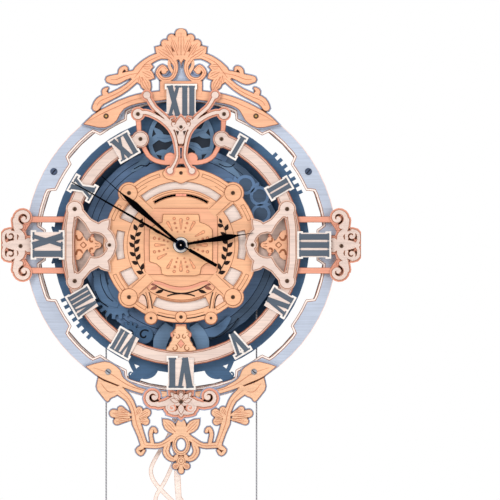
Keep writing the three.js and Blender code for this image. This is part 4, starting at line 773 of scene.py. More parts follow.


# The lavender borders round crown and base are the backing layer's edge and partly painted shadow. The one
# round the base scroll is painted shadow.
border("crown_outline", "crown", 1.0, CROWN - 3, CROWN - 1.4, lavender_edge_and_shadow)
edge_line("crown", "crown", 0.45, CROWN)
border("base_outline", "base_ornament", 0.9, BASE - 3, BASE - 1.4, lavender_edge_and_shadow)
edge_line("base", "base_ornament", 0.4, BASE)
border("base_scroll_shadow", "base_scroll", 2.7, BASE, BASE + 0.5, lavender_edge_and_shadow)
border("base_scroll_border", "base_scroll", 1.7, BASE + 0.05, BASE + 1.1, salmon)
edge_line("base_scroll", "base_scroll", 0.35, BASE_SCROLL)
for side in ("left", "right"):
    scroll, bracket = f"{side}_scroll", f"{side}_bracket"
    border(f"{scroll}_border", scroll, 1.3, SIDE_BACKING, SIDE_BACKING + 1.1, salmon)
    edge_line(scroll, scroll, 0.35, SCROLL)
    border(f"{bracket}_border", bracket, 0.9, RING + 0.1, RING + 1.1, taupe_pink)
    edge_line(bracket, bracket, 0.4, BRACKET)
    edge_line(f"{side}_backing", f"{side}_side_backing", 0.35, SIDE_BACKING)
border("wishbone_border", "wishbone", 1.3, RING_BACKING, RING_BACKING + 1, salmon)
edge_line("wishbone", "wishbone", 0.35, RING)
# A brown line inside the numeral ring's edge: scorched edge and partly painted shadow
strip("numeral_ring_edge_line", "numeral_ring", -0.95, -0.45, RING - SUNK, RING + PROUD, brown_line)
edge_line("ring_backing", "ring_backing", 0.4, RING_BACKING)
edge_line("dial", "dial_frame", 0.45, DIAL)


# The front frame's inner edge has a pale bevel strip between scorched lines, which are partly painted shadow,
# and the rear frame a pale rim
def frame_trim():
    def reach(loop):
        return max(math.hypot(x, y) for x, y in loop)

    stock = Stock()
    loops = front_loops("front_frame")
    inner, outer = min(loops, key=reach), max(loops, key=reach)
    for loop, near, far, slot in ((inner, 0.4, EDGE_GAP, 1), (inner, 1.6, 0.4, 0), (inner, 2.1, 1.6, 1),
                                  (outer, 0.5, EDGE_GAP, 2)):
        stock.band(offset(loop, -near), offset(loop, -far), FRONT - SUNK, FRONT + PROUD, slot)
    for near, far, slot in ((118.6, 122, 0), (118.1, 118.6, 1)):
        stock.ring(0, 0, near, far, REAR - SUNK, REAR + 0.15, slot, 72)
    stock.make("frame_trim", [cream_line, brown_line, rim_line])


# Numerals: for each letter its advance, its strokes from end to end with their width, and its feet
GLYPHS = {
    "I": (0.3, [(0.15, 0, 0.15, 1, 0.215)], [(0.15, 0), (0.15, 1)]),
    "V": (0.62, [(0.14, 1, 0.32, 0, 0.22), (0.5, 1, 0.33, 0, 0.135)], [(0.14, 1), (0.5, 1)]),
    "X": (0.62, [(0.14, 1, 0.48, 0, 0.22), (0.48, 1, 0.14, 0, 0.135)],
          [(0.14, 0), (0.48, 0), (0.14, 1), (0.48, 1)]),
}
NUMERAL_WIDTHS = {
    1: ("I", 6), 2: ("II", 10), 3: ("III", 20), 4: ("IV", 17.6), 5: ("V", 13.4), 6: ("VI", 21),
    7: ("VII", 17.4), 8: ("VIII", 19), 9: ("IX", 21.4), 10: ("X", 13.4), 11: ("XI", 16.6), 12: ("XII", 23.6),
}
NUMERAL_CIRCLE = 92.9
LARGE_CIRCLE = 109.2
LOWEST_CIRCLE = 104.7
TOP_NUMERAL = 118.3
NUMERAL_HEIGHT = 18.5
LARGE_HEIGHT = 24.6
SINGLE_WEIGHT = 0.8
FOOT_WIDTH = 0.27
FOOT_HEIGHT = 0.06
FILL_MARGIN = 0.4


def numeral_strokes(text, height, width):
    total = sum(GLYPHS[c][0] for c in text)
    across = width / total
    start = -total / 2
    weight = SINGLE_WEIGHT if len(text) == 1 else 1
    outlines = []

    def place(x, y):
        return ((start + x) * across, (y - 0.5) * height)

    for letter in text:
        advance, strokes, feet = GLYPHS[letter]
        for x0, y0, x1, y1, thick in strokes:
            outlines.append(stroke([place(x0, y0), place(x1, y1)], thick * across * weight))
        for x, y in feet:
            px, py = place(x, y)
            half = FOOT_WIDTH * across / 2
            low, high = sorted((py, py - math.copysign(FOOT_HEIGHT * height, py)))
            outlines.append(box(px - half, low, px + half, high))
        start += advance
    return outlines


def numerals():
    for hour, (text, width) in NUMERAL_WIDTHS.items():
        stock = Stock()
        large = hour % 3 == 0
        radius = {12: TOP_NUMERAL, 6: LOWEST_CIRCLE}.get(hour, LARGE_CIRCLE if large else NUMERAL_CIRCLE)
        height = LARGE_HEIGHT if large else NUMERAL_HEIGHT
        base = RING_BACKING if hour == 12 else NUMERAL
        if len(text) > 1:
            x, y = width / 2 - FILL_MARGIN, height / 2 - FILL_MARGIN
            stock.mark(turned(moved(box(-x, -y, x, y), 0, radius), -30 * hour), base, 1, 0.12)
        for outline in numeral_strokes(text, height, width):
            stock.mark(turned(moved(outline, 0, radius), -30 * hour), base, 0, 0.5)
        stock.make(f"numeral_face_{hour}", [slate, pink_fill])


# Screws: the places of those in the trim, which come in pairs or stand in the middle
PAIRED_SCREWS = [
    (33.2, 86.9, RING, 1.7), (35.3, 107.4, RING, 1.7), (87, 29.5, BRACKET, 1.8), (87, -29.5, BRACKET, 1.8),
    (58.6, 0, BRACKET, 1.5), (131.6, -0.8, SCROLL, 1.7),
]
FLOWER = (0, -128.7)
MIDDLE_SCREWS = [(0, 96.8, RING, 1.4), (*FLOWER, BASE_SCROLL, 1.7)]


def screws():
    stock = Stock()
    for angle in (30, 150):
        stock.slotted(*polar(120.8, angle), FRONT, 2.9, 50)
    for side in (-1, 1):
        stock.slotted(side * 59.9, -104.1, BASE, 2.5, -40, 2)
        stock.screw(side * 61.5, 105.8, CROWN, 2.2, 3, 4)
    stock.make("frame_screws", [blued_steel, seam_line, steel, screw_metal, brass], smooth=40)
    trim = Stock()
    for side in (-1, 1):
        for x, y, depth, radius in PAIRED_SCREWS:
            trim.screw(side * x, y, depth, radius)
    for place in MIDDLE_SCREWS:
        trim.screw(*place)
    trim.make("trim_screws", [screw_metal, dark_line], smooth=40)


# Dial: raised arms, an inner panel and drawn lines on the tan frame
DIAL_BACK = DIAL - SUNK
UNDER = 49.9
STRAP = 50.0
ARM = 50.1
PANEL = 50.6
ARM_BOSS = 50.8
ARM_LINE_BACK = ARM - 0.05
DIAGONAL = 0.71


def dial_arms():
    stock = Stock()
    for sx in (-1, 1):
        for sy in (-1, 1):
            x, y = sx * 42.6, sy * 42.7
            profile = [(0, DIAL_BACK), (6.7, DIAL_BACK), (6.7, 50.5), (6.2, ARM_BOSS), (0, ARM_BOSS)]
            stock.turned(profile, x, y, 0, 36)
            arm = ribbon([(x, y), (sx * 34, sy * 34.4), (sx * 25, sy * 26)], [9.4, 8.4, 10])
            stock.plate(arm, DIAL_BACK, ARM)
            # The brown ring round each boss and the brown lines inside each arm's edges are scorched edges
            # and partly painted shadow
            stock.outlined(circle(x, y, 6.9, 36), 0.5, DIAL_BACK, ARM + 0.1 + LINE, 1)
            for shift in (-3.9, 3.9):
                line = [(sx * 37.5, sy * 37.7), (sx * 26, sy * 27)]
                line = moved(line, sx * DIAGONAL * shift, -sy * DIAGONAL * shift)
                stock.plate(ribbon(line, 0.4), ARM_LINE_BACK, ARM + LINE, 1)
            stock.screw(x, y, ARM_BOSS, 1.7, 2, 3)
    stock.make("dial_arms", [tan, brown_line, screw_metal, dark_line])


def boss(stock, x, y, radius, sides, screw):
    stock.plate(circle(x, y, radius, sides), DIAL_BACK, ARM)
    stock.outlined(circle(x, y, radius - 0.3, sides), 0.45, ARM_LINE_BACK, ARM + LINE, 1)
    stock.screw(x, y, ARM, screw, 2, 3)


def dial_tabs():
    stock = Stock()
    half = [(-14, 61.5), (-15, 57.5), (-12, 54.2), (-6, 52.6)]
    tab = curve(half + [(0, 50.3)] + mirrored(half)[::-1] + [(7, 63.2), (0, 63.8), (-7, 63.2)], 4, True)
    stock.plate(tab, DIAL_BACK, ARM)
    stock.outlined(offset(tab, -0.3), 0.45, ARM_LINE_BACK, ARM + LINE, 1)
    stock.screw(0, 59.1, ARM, 1.5, 2, 3)
    boss(stock, 0, -59.0, 4.9, 28, 1.5)
    for side in (-1, 1):
        boss(stock, side * 24.6, -59.9, 5.3, 24, 1.1)
        strap = sided([(27.6, -38.6), (26.0, -44), (24.8, -52), (24.6, -56)], side)
        stock.plate(ribbon(strap, [4.4, 4, 4, 5]), DIAL_BACK, STRAP)
        stock.mark(ribbon(moved(strap[:3], -side * 1.3, 0), 0.9), STRAP, 3)
        stock.mark(ribbon(moved(strap[:3], side * 1.3, 0), 0.5), STRAP, 1)
        gap = sided([(35.2, -46), (33.6, -42), (31.6, -40.4), (29.6, -42), (28, -46.4), (27.6, -50.6)], side)
        stock.mark(gap, DIAL, 4, 0.05 + LINE)
        stock.mark(ribbon(gap[2:] + [(side * 27.4, -52)], 0.9), DIAL, 3, 0.15 + LINE)
        stock.mark(ribbon(gap[:3], 0.4), DIAL, 1, 0.15 + LINE)
        stock.mark(ribbon(sided([(20, -57.1), (12, -59.2), (5, -60.2)], side), 1.0), DIAL, 3)
        stock.mark(ribbon(sided([(19, -54.9), (11, -56.9), (5, -57.6)], side), 0.4), DIAL, 1)
    stock.make("dial_tabs", [tan, brown_line, screw_metal, dark_line, taupe_pink])


# Outlined slots round the dial's edge, from angle to angle, and lines at several radii
SLOT_SPANS = [(107, 128), (52, 73), (147, 160), (20, 33), (204, 218), (322, 336), (229, 241), (299, 311)]
LINE_SPANS = [
    (55.6, 0.4, [(24, 60), (120, 156), (204, 236), (304, 336)]),
    (44.2, 0.4, [(58, 122), (150, 210), (-30, 30)]),
    (46.2, 0.5, [(246, 294)]),
]


def dial_ring_lines():
    stock = Stock()
    for a, b in SLOT_SPANS:
        stock.outlined(arc(61, a, b, 8) + arc(58.3, b, a, 8), 0.4, DIAL_BACK, DIAL + LINE, 0)
    for radius, width, spans in LINE_SPANS:
        for a, b in spans:
            stock.mark(stroke(arc(radius, a, b, 20), width), DIAL)
    stock.make("dial_ring_lines", [brown_line])


def symmetric(left):
    return left + mirrored(left)[::-1]


def dial_panel():
    stock = Stock()
    plate = symmetric([(-27, 30.5), (-30, 27.5), (-30.5, 0), (-30, -21.5), (-27, -24.5)])
    stock.plate(plate, DIAL_BACK, UNDER, 0)
    stock.outlined(offset(plate, -0.3), 0.4, UNDER - SUNK, UNDER + LINE, 2)
    panel = symmetric([
        (-14.8, 25.5), (-15.4, 22.4), (-15.6, 18.9), (-19.6, 17.6), (-23, 15.8), (-26, 12.7), (-26.2, 0),
        (-26, -13.8), (-22.6, -14.9), (-20, -15.8), (-16.9, -18.6), (-15.8, -24), (-11.7, -25.5),
    ])
    stock.plate(panel, UNDER - SUNK, PANEL, 1)
    stock.outlined(offset(panel, -0.3), 0.45, PANEL - SUNK, PANEL + LINE, 2)
    stock.make("dial_panel", [peach, pale_tan, brown_line])


# Each quarter of the panel has three drops and four pairs of dots
DROPS = [((0, 20.6), (0, 13.2), 1.5), ((-10.7, 18.4), (-7.2, 11.8), 1.4), ((10.7, 18.4), (7.2, 11.8), 1.4)]
DROP_TIP = 0.6
DOTS = [(5.6, 21.7, 1.4), (5, 17.9, 1.15), (3.8, 14, 0.95), (2.8, 10.9, 0.8)]


def dial_pattern():
    stock = Stock()

    def draw(outline, quarter):
        stock.mark(turned(outline, 90 * quarter), PANEL, 0, 0.1)

    def fill(outline, quarter):
        stock.plate(turned(outline, 90 * quarter), PANEL, PANEL + 0.16, 1)

    for quarter in range(4):
        for outer, inner, big in DROPS:
            draw(teardrop(outer, inner, big, DROP_TIP), quarter)
            fill(teardrop(outer, inner, big - 0.55, DROP_TIP - 0.45), quarter)
        for x, y, radius in DOTS:
            for side in (-1, 1):
                draw(circle(side * x, y, radius, 14), quarter)
        for side in (-1, 1):
            fill(circle(side * DOTS[0][0], DOTS[0][1], 0.7, 12), quarter)
    stock.make("dial_pattern", [soft_line, drop_fill])


def dial_arc_slot():
    stock = Stock()
    for a, b, slot in ((58, 84, 0), (84, 96, 1), (96, 122, 0)):
        stock.mark(arc(42, a, b, 10) + arc(40.2, b, a, 10), DIAL, slot)
    rim = arc(42.4, 57.5, 122.5, 30) + arc(39.8, 122.5, 57.5, 30)
    stock.outlined(rim, 0.4, DIAL_BACK, DIAL + LINE, 2)
    stock.make("dial_arc_slot", [black_card, salmon_line, brown_line])


LAUREL_STEM = [(-33.2, 18.4), (-36.7, 10.4), (-38.1, 1.7), (-37.8, -6), (-35.4, -14.7), (-30.8, -23.4)]
LAUREL_LENGTH = 6.2
LAUREL_WIDTH = 3.3
LAUREL_LEAN = 44
LEAVES_EACH_SIDE = 6


def dial_laurels():
    stock = Stock()
    stem = curve(LAUREL_STEM, 8)
    last = len(stem) - 1
    for flip in (list, mirrored):
        stock.mark(flip(ribbon(LAUREL_STEM, [0.4, 0.7, 0.8])), DIAL)
        for k in range(LEAVES_EACH_SIDE):
            for lean, late in ((-LAUREL_LEAN, 0), (LAUREL_LEAN, 3)):
                i = min(round(4 + late + k * (last - 7) / (LEAVES_EACH_SIDE - 1)), last)
                (x, y), (x0, y0) = stem[i], stem[i - 2]
                angle = math.degrees(math.atan2(y0 - y, x0 - x)) + lean
                root, tip = polar(0.4, angle, x, y), polar(LAUREL_LENGTH, angle, x, y)
                stock.mark(flip(leaf(root, tip, LAUREL_WIDTH)), DIAL)
        stock.mark(flip(leaf(stem[1], polar(4.8, 62, *stem[1]), 2.4)), DIAL)
    stock.make("dial_laurels", [laurel_black])


# The crescent panel below the hub, shaded along its upper edge, with a leafy twig on each side
CRESCENT_TOP = [(-27.8, -33.8), (-23.4, -29.6), (-16.4, -30.4), (-8.6, -33.2)]
CRESCENT_FOOT = [(24, -39), (12, -43.6), (0, -45.2), (-12, -43.6), (-24, -39)]
TWIG = [(-22, -32.4), (-14.7, -36.4), (-6, -39.1), (0, -39.8), (6.9, -40.5), (11.4, -41.9)]
TWIG_LEAVES = [
    ((-19.2, -34.2), (-25.4, -36.6), 2.8, 4), ((-20.8, -33), (-25.6, -31.6), 1.8, 4),
    ((-14.4, -37.2), (-21.2, -39.4), 2.7, 2),
]
TWIG_FRONT = DIAL + 0.35


def dial_smile():
    stock = Stock()
    top = CRESCENT_TOP + [(0, -34.4)] + mirrored(CRESCENT_TOP)[::-1]
    band = curve(top + CRESCENT_FOOT, 4, True)
    stock.mark(band, DIAL, 0, 0.1)
    stock.outlined(band, 0.55, DIAL_BACK, DIAL + 0.25, 1)
    shade = curve(top, 4)
    stock.plate(shade + moved(shade[::-1], 0, -2.6), DIAL, DIAL + 0.2, 3)
    for flip in (list, mirrored):
        stock.plate(flip(ribbon(TWIG, [0.8, 1.2, 1.2, 1.2, 1.2, 0.9])), DIAL, TWIG_FRONT, 2)
        for root, tip, width, slot in TWIG_LEAVES:
            stock.plate(flip(leaf(root, tip, width)), DIAL, TWIG_FRONT, slot)
    materials = [tan, brown_line, laurel_black, salmon, umber_line]
    stock.make("dial_smile", materials)


# Side brackets: a taupe ground behind the window, and a carved field on the backing. Given are the upper
# halves of both, and the lines cut in the field: curls, a diamond and a fleur.
GROUND = [(-89.5, 0), (-89.5, 12), (-87, 22), (-82, 22.5), (-77, 15.5), (-66, 11.5), (-60.5, 7), (-59.5, 0)]
FIELD = [
    (-88.4, 0), (-88.4, 9.6), (-86.6, 12.2), (-83.8, 12), (-81.6, 10), (-80.4, 7.6), (-78.2, 4.4), (-76.6, 3),
    (-75.8, 5.4), (-73.8, 6.8), (-71.4, 6.2), (-70.2, 3.8), (-68.4, 2.6), (-66.2, 2), (-65.4, 0),
]
FIELD_FRONT = SIDE_BACKING + 0.8
FIELD_LINES = [
    ([(-85.9, 8.2), (-85.6, 5.8), (-84.3, 4.1), (-82.3, 4.5), (-80.6, 6.8)], [1.4, 1.7, 1.8, 1.6, 1]),
    ([(-74.2, 6), (-74.9, 4.5), (-74.2, 3.1), (-73, 2.7), (-72.4, 3.5)], [0.9, 1.5, 1.7, 1.5, 1.2]),
    ([(-82.6, 0), (-80.1, 2.5)], 0.7), ([(-80.1, 2.5), (-77.6, 0)], [0.7, 0.9]),
    ([(-70.6, 1.6), (-69.4, 0.9), (-67.6, 1.1)], [0.5, 0.7, 0.4]),
]


def medallions():
    for name, flip in (("left", list), ("right", mirrored)):
        ground = Stock()
        ground.plate(flip(closed_by(flipped, GROUND)), 44.6, 45.45)
        ground.make(f"{name}_medallion_ground", [taupe])
        scroll = Stock()
        scroll.plate(flip(closed_by(flipped, FIELD)), SIDE_BACKING - SUNK, FIELD_FRONT, 0)
        for turn in (list, flipped):
            for points, widths in FIELD_LINES:
                scroll.mark(flip(turn(ribbon(points, widths))), FIELD_FRONT, 1, 0.1)
        scroll.make(f"{name}_medallion_scroll", [orange, brown_line], bevel=0.12)


# Engraved veins: on each leaf a middle line and two side lines, and a line along each scroll. Leaves have a
# root, a tip and a width, and both lists are measured from the crown's foot or the base's head.
CROWN_FOOT = 128.3
CROWN_LEAVES = [
    ((0, 18), (0, 49.8), 10), ((0, 20), (-9, 44.8), 7), ((-2, 20), (-15, 40), 7),
    ((-2, 21), (-21.5, 34.3), 9.5), ((-36, 18), (-22.5, 18), 8), ((-36, 16), (-21.5, 8.5), 9),
    ((-35, 15), (-25.5, -3), 9), ((-35, 14), (-32.6, 3), 7),
]
CROWN_SCROLLS = [
    [(-17, 27), (-27.5, 22), (-34, 14.5), (-38, 9)], [(-34, 13), (-44, 11), (-53, 7.6), (-58, 7.6)],
    [(-36, 8.5), (-46, 0), (-56, -5.6), (-66, -10), (-69, -14)],
    [(-8, 25), (-4.2, 18), (-7, 9.4), (-14.4, 7.6), (-19.2, 13), (-15.4, 18.4), (-12, 15.6)],
    [(-76, -26.6), (-66, -21), (-54, -15.5), (-40, -9.6), (-24, -5.6)],
]
BASE_LEAVES = [
    ((-40, -11), (-52, -5.6), 5.4), ((-37, -12), (-59, -9.6), 7), ((-37, -14), (-55.6, -17), 5.8),
    ((-38, -14), (-33, -4.6), 6), ((-38, -15), (-25.2, -7.6), 7), ((-37, -16), (-26, -16.8), 6.4),
    ((0, -30), (-15.4, -14.4), 9), ((0, -50.6), (-7.4, -55.4), 4),
]
BASE_SCROLLS = [
    [(-51, 9), (-43, 1.6), (-38.6, -8), (-36.6, -18), (-33, -28), (-30, -36)],
    [(-30, -36), (-18, -36.4), (-9, -31.6)], [(-72, 27.5), (-58, 22.5), (-44, 13.5), (-28, 8.2), (-14, 6)],
    [(-66, 15), (-60, 8), (-54, 8)], [(-11, -36.6), (-12.6, -41), (-10, -46), (-6, -47.5)],
]


def vein(stock, root, tip, width, depth):
    (x0, y0), (x1, y1) = root, tip
    length = math.hypot(x1 - x0, y1 - y0)
    across = (-(y1 - y0) / length, (x1 - x0) / length)

    def place(along, aside):
        return (x0 + (x1 - x0) * along + across[0] * aside, y0 + (y1 - y0) * along + across[1] * aside)

    stock.mark(ribbon([place(0.3, 0), place(0.62, 0), place(0.88, 0)], [0.55, 0.45, 0.2], 4), depth)
    for aside in (-width * 0.24, width * 0.24):
        line = [place(0.42, aside * 0.7), place(0.62, aside), place(0.78, aside * 0.7)]
        stock.mark(ribbon(line, [0.2, 0.4, 0.2], 3), depth)


def veins():
    for name, leaves, scrolls, rise, depth in (
        ("crown_veins", CROWN_LEAVES, CROWN_SCROLLS, CROWN_FOOT, CROWN),
        ("base_veins", BASE_LEAVES, BASE_SCROLLS, -CROWN_FOOT, BASE),
    ):
        stock = Stock()
        for flip in (list, mirrored):
            for root, tip, width in leaves:
                vein(stock, *flip(moved([root, tip], 0, rise)), width, depth)
            for line in scrolls:
                stock.mark(ribbon(flip(moved(line, 0, rise)), [0.2, 0.5, 0.5, 0.2]), depth)
        stock.make(name, [soft_line])


# A peach block round the top numeral's head
BLOCK_INNER = 13.9
BLOCK_OUTER = 17.1
BLOCK_TOP = 134.3


def top_numeral_block():
    stock = Stock()
    for outline in (
        box(-BLOCK_INNER, 121.6, -BLOCK_OUTER, BLOCK_TOP), box(BLOCK_INNER, 121.6, BLOCK_OUTER, BLOCK_TOP),
        box(-BLOCK_INNER, 132.7, BLOCK_INNER, BLOCK_TOP),
    ):
        stock.mark(outline, CROWN, 0, 0.3)
    stock.make("top_numeral_block", [peach])


# Hub: white washers round the hour and minute bosses, open where each hand leaves, and a pale-centred cap
HOUR_ANGLE = 9.5
MINUTE_ANGLE = 139
WASHER_INNER = 3.6
WASHER_GAP = 15
CAP_RING = [(3.2, 59.45), (4.3, 59.45), (4.3, 60.6), (3.8, 61.4), (3.2, 61.5), (3.2, 59.45)]
CAP_CENTRE = [(0, 62.0), (0.65, 62.0), (0.65, 62.2), (0.45, 62.3), (0, 62.3)]


def open_washer(name, outer, back, front, angle, body):
    stock = Stock()
    first, last = angle + WASHER_GAP, angle + 360 - WASHER_GAP
    stock.plate(arc(outer, first, last, 40) + arc(WASHER_INNER, last, first, 40), back, front)
    stock.make(name, [white], body)


def hub():
    open_washer("hour_washer", 6.1, 55.6, 56.1, HOUR_ANGLE, "hour_wheel")
    open_washer("minute_washer", 5.1, 57.8, 58.3, MINUTE_ANGLE, "minute_arbor")
    centre = Stock()
    centre.turned(CAP_RING, 0, 0, 0, 32)
    centre.turned(CAP_CENTRE, 0, 0, 1, 16)
    centre.make("hub_cap", [navy, cream], "seconds_arbor", smooth=30)


# Mechanism between dial and numeral ring: wheel faces on the drum's flange, and fixed plates before it
FLANGE_FACE = 35.0
FLANGE_BACK = FLANGE_FACE - SUNK
FIXED_BACK = 36.2
HOLED_WHEEL = (48.5, 32.0)
HOLE_CIRCLE = 18.1
LEAF_WHEEL = (0.0, 87.0)
LEAF_WHEEL_RADIUS = 27.5
LEAF_WHEEL_BACK = 38.9
LEAF_WHEEL_SPOKES = 7

# Curls on the flange: their course and widths, and a seam on each
FLANGE_CURLS = [
    ([(26, 69.6), (33, 67), (40, 63), (48, 56)], [1.5, 5, 6, 2],
     [(31, 67), (36, 64.6), (41, 64.6), (44, 67)]),
    ([(-41, 60.4), (-35, 65), (-29, 71), (-26.4, 77)], [1.5, 5, 5.4, 2],
     [(-39, 62.6), (-33, 65.6), (-28.6, 65), (-26, 68)]),
]


def toothed(x, y, root, tip, teeth, start=0.0):
    outline = []
    pitch = 360 / teeth
    for k in range(teeth):
        for radius, share in ((root, -0.32), (tip, -0.2), (tip, 0.2), (root, 0.32)):
            outline.append(polar(radius, start + (k + share) * pitch, x, y))
    return outline


def flange_wheels():
    stock = Stock()

    def lay(outline, rise, slot):
        stock.plate(outline, FLANGE_BACK, FLANGE_FACE + rise, slot)

    # Painted shade: a darker blue sector over the flange's right side, where it is less lit
    lay(arc(81.6, -84, 62, 60) + arc(71.5, 62, -84, 60), 0.1, 3)
    # Painted shadow: the holed wheel's disc and its holes are dark blue, standing for the shadow between its
    # bright rings
    lay(circle(*HOLED_WHEEL, 23.4, 48), 0.16, 3)
    for angle in (-20.8, 27.6, 76, 124.4):
        x, y = polar(HOLE_CIRCLE, angle, *HOLED_WHEEL)
        lay(circle(x, y, 6, 24), 0.26, 3)
        stock.ring(x, y, 5.6, 8.2, FLANGE_BACK, FLANGE_FACE + 0.65, 4, 28)
    for angle in (3.4, 51.8, 100.2):
        lay(leaf(polar(14, angle, *HOLED_WHEEL), polar(25.5, angle, *HOLED_WHEEL), 5.4), 0.55, 4)
    for course, widths, seam in FLANGE_CURLS:
        lay(ribbon(course, widths), 0.4, 1)
        stock.plate(ribbon(seam, 0.8), FLANGE_FACE, FLANGE_FACE + 0.55, 2)
    for radius in (71.5, 76.8):
        stock.ring(0, 0, radius, radius + 0.5, FLANGE_BACK, FLANGE_FACE + 0.15, 2, 72)
    colours = [mid_blue, light_blue, seam_line, painted_shade_blue, bright_blue]
    stock.make("flange_wheels", colours, "drum", bevel=0.1)


def leaf_wheel():
    stock = Stock()

    def spot(radius, angle):
        return polar(radius, angle, *LEAF_WHEEL)

    stock.plate(circle(*LEAF_WHEEL, LEAF_WHEEL_RADIUS - 1, 48), LEAF_WHEEL_BACK, 39.3, 1)
    stock.ring(*LEAF_WHEEL, LEAF_WHEEL_RADIUS - 3.4, LEAF_WHEEL_RADIUS, LEAF_WHEEL_BACK, 40.6, 0, 48)
    stock.ring(*LEAF_WHEEL, 3, 7.6, LEAF_WHEEL_BACK, 40.6, 0, 32)
    rim = LEAF_WHEEL_RADIUS - 2
    for k in range(LEAF_WHEEL_SPOKES):
        angle = 14 + 360 / LEAF_WHEEL_SPOKES * k
        spoke = [spot(6, angle), spot(13, angle + 9), spot(19, angle + 6), spot(rim, angle + 18)]
        stock.plate(ribbon(spoke, [3.4, 6.6, 5.4, 5]), LEAF_WHEEL_BACK, 40.3, 0)
        stock.plate(leaf(spot(14, angle + 8), spot(rim, angle - 12), 5), LEAF_WHEEL_BACK, 40.3, 0)
        line = [spot(8, angle + 2), spot(14, angle + 9), spot(20, angle + 8)]
        stock.plate(ribbon(line, 0.5), 40.2, 40.45, 2)
    stock.make("leaf_wheel", [light_blue, deep_blue, mid_blue], bevel=0.1)


# The left side's wheels, snail and lever, then a leg and a loop on each side, and the right side's lever
PINION = (-42.5, -72.6)
SNAIL = (-30.4, -74)
LEFT_LEVER = [(-67.5, -21), (-66.5, -33), (-61.5, -43.5), (-52, -50)]
LEVER_SEAMS = [
    [(-66.6, -24), (-65.4, -33), (-61, -42), (-56, -46.4)], [(-70.6, -38), (-67, -45.6), (-60, -51)],
]


def lower_works():
    stock = Stock()

    def fixed(outline, front, slot):
        stock.plate(outline, FIXED_BACK, front, slot)

    fixed(toothed(-53, -44, 13.4, 17.2, 17, 6), 37.8, 0)
    fixed(toothed(*PINION, 7, 10, 13), 37.3, 1)
    stock.ring(*PINION, 2.4, 3.2, 37.2, 37.6, 3, 20)
    fixed(circle(*SNAIL, 7.2, 28), 37.6, 1)
    stock.plate(volute(*SNAIL, 4.6, 40, 300, [1.2, 1.6, 1.2]), 37.5, 37.75, 3)
    stock.plate(ribbon(LEFT_LEVER, [8, 11, 10, 3]), 37.7, 38.8, 0)
    for seam in LEVER_SEAMS:
        stock.plate(ribbon(seam, 0.7), 38.7, 38.95, 3)
    for side in (-1, 1):
        leg = sided([(9.5, -66), (13.5, -72), (17, -79), (18, -89)], side)
        fixed(ribbon(leg, [8, 11.5, 12, 9]), 38.6, 2)
        loop = sided([(41.5, -95.6), (37.6, -104), (30.5, -108.6), (22.6, -106), (19, -97)], side)
        fixed(ribbon(loop, [4, 3.2, 3.6, 3.2, 4]), 38.6, 1)
        fixed(volute(side * 41, -106, 3.8, 90 + side * 40, side * 330, [1.8, 1.5, 1.2]), 38.4, 1)
    fixed(ribbon([(17, -72), (26, -71.6), (34, -66.6), (40, -59)], [5, 8.4, 7, 3]), 37.8, 0)
    stock.plate(ribbon([(22, -78), (32, -75), (41, -68), (47, -60)], 0.7), FIXED_BACK - SUNK, 38.0, 3)
    stock.make("lower_works", [mid_blue, dark_blue, light_blue, seam_line], bevel=0.1)


# Second stems beside the crown's volutes, and blue backing behind the volutes
CROWN_STEM = [(-8, 155.4), (-9.7, 150.5), (-9.4, 146.5), (-6.4, 141)]
VOLUTE_BACKING = [circle(-14.6, 142.4, 6.2, 40), [(-9.6, 139), (-3, 139), (-3, 153), (-9, 153)]]


def crown_stems():
    stock = Stock()
    for flip in (list, mirrored):
        stock.plate(flip(ribbon(CROWN_STEM, [2.4, 2.4, 2.6, 2.4])), 44.1, CROWN - 0.05, 0)
        for outline in VOLUTE_BACKING:
            stock.plate(flip(outline), 42.2, 44.05, 1)
    stock.make("crown_stems", [orange, backing_blue])


# The lower tie's carved face: its left half, a diamond and spirals
TIE_HALF = [
    (0, -66), (-4.3, -66.2), (-4.6, -68.4), (-6.7, -70.4), (-6.9, -72.4), (-5.8, -74), (-7.3, -75.6),
    (-7.7, -78.4), (-9.4, -80.6), (-9.9, -82.4), (-12, -84.4), (-12.7, -86.8), (0, -88),
]
TIE_FRONT = 50.0
TIE_DIAMOND = [(0, -84.4), (2.9, -80.9), (0, -77.4), (-2.9, -80.9)]
TIE_SPIRALS = [
    volute(-5.4, -84.6, 2.9, 70, -300, [0.9, 0.9, 0.5]), volute(-2.9, -75.2, 2.1, 70, -280, [0.8, 0.8, 0.4]),
    volute(-5.0, -71.4, 1.1, 60, 330, 0.4),
]


def tie_face(stock):
    face = closed_by(mirrored, TIE_HALF)
    stock.plate(face, RING_BACKING - SUNK, TIE_FRONT, 4)
    stock.outlined(offset(face, -0.3), 0.4, TIE_FRONT - SUNK, TIE_FRONT + 0.1, 1)
    stock.mark(TIE_DIAMOND, TIE_FRONT, 5, 0.1)
    stock.outlined(TIE_DIAMOND, 0.4, TIE_FRONT - SUNK, TIE_FRONT + 0.2, 1)
    for flip in (list, mirrored):
        for spiral in TIE_SPIRALS:
            stock.mark(flip(spiral), TIE_FRONT, 1, 0.12)


# Webs that join the lobes of the base ornament's leaves, and the round foot and oval below them
OUTER_WEB = [(-54.5, -141.2), (-48, -138.6), (-42.5, -138.4), (-41.6, -144.6), (-46, -145.2), (-53, -145.4)]
INNER_WEB = [(-35, -139), (-27.5, -138.6), (-28, -144.5), (-33, -145)]
BASE_FOOT = (0, -177.1)
OVAL_MIDDLE = -164
OVAL_STRETCH = 1.25
ENGRAVED = 0.12


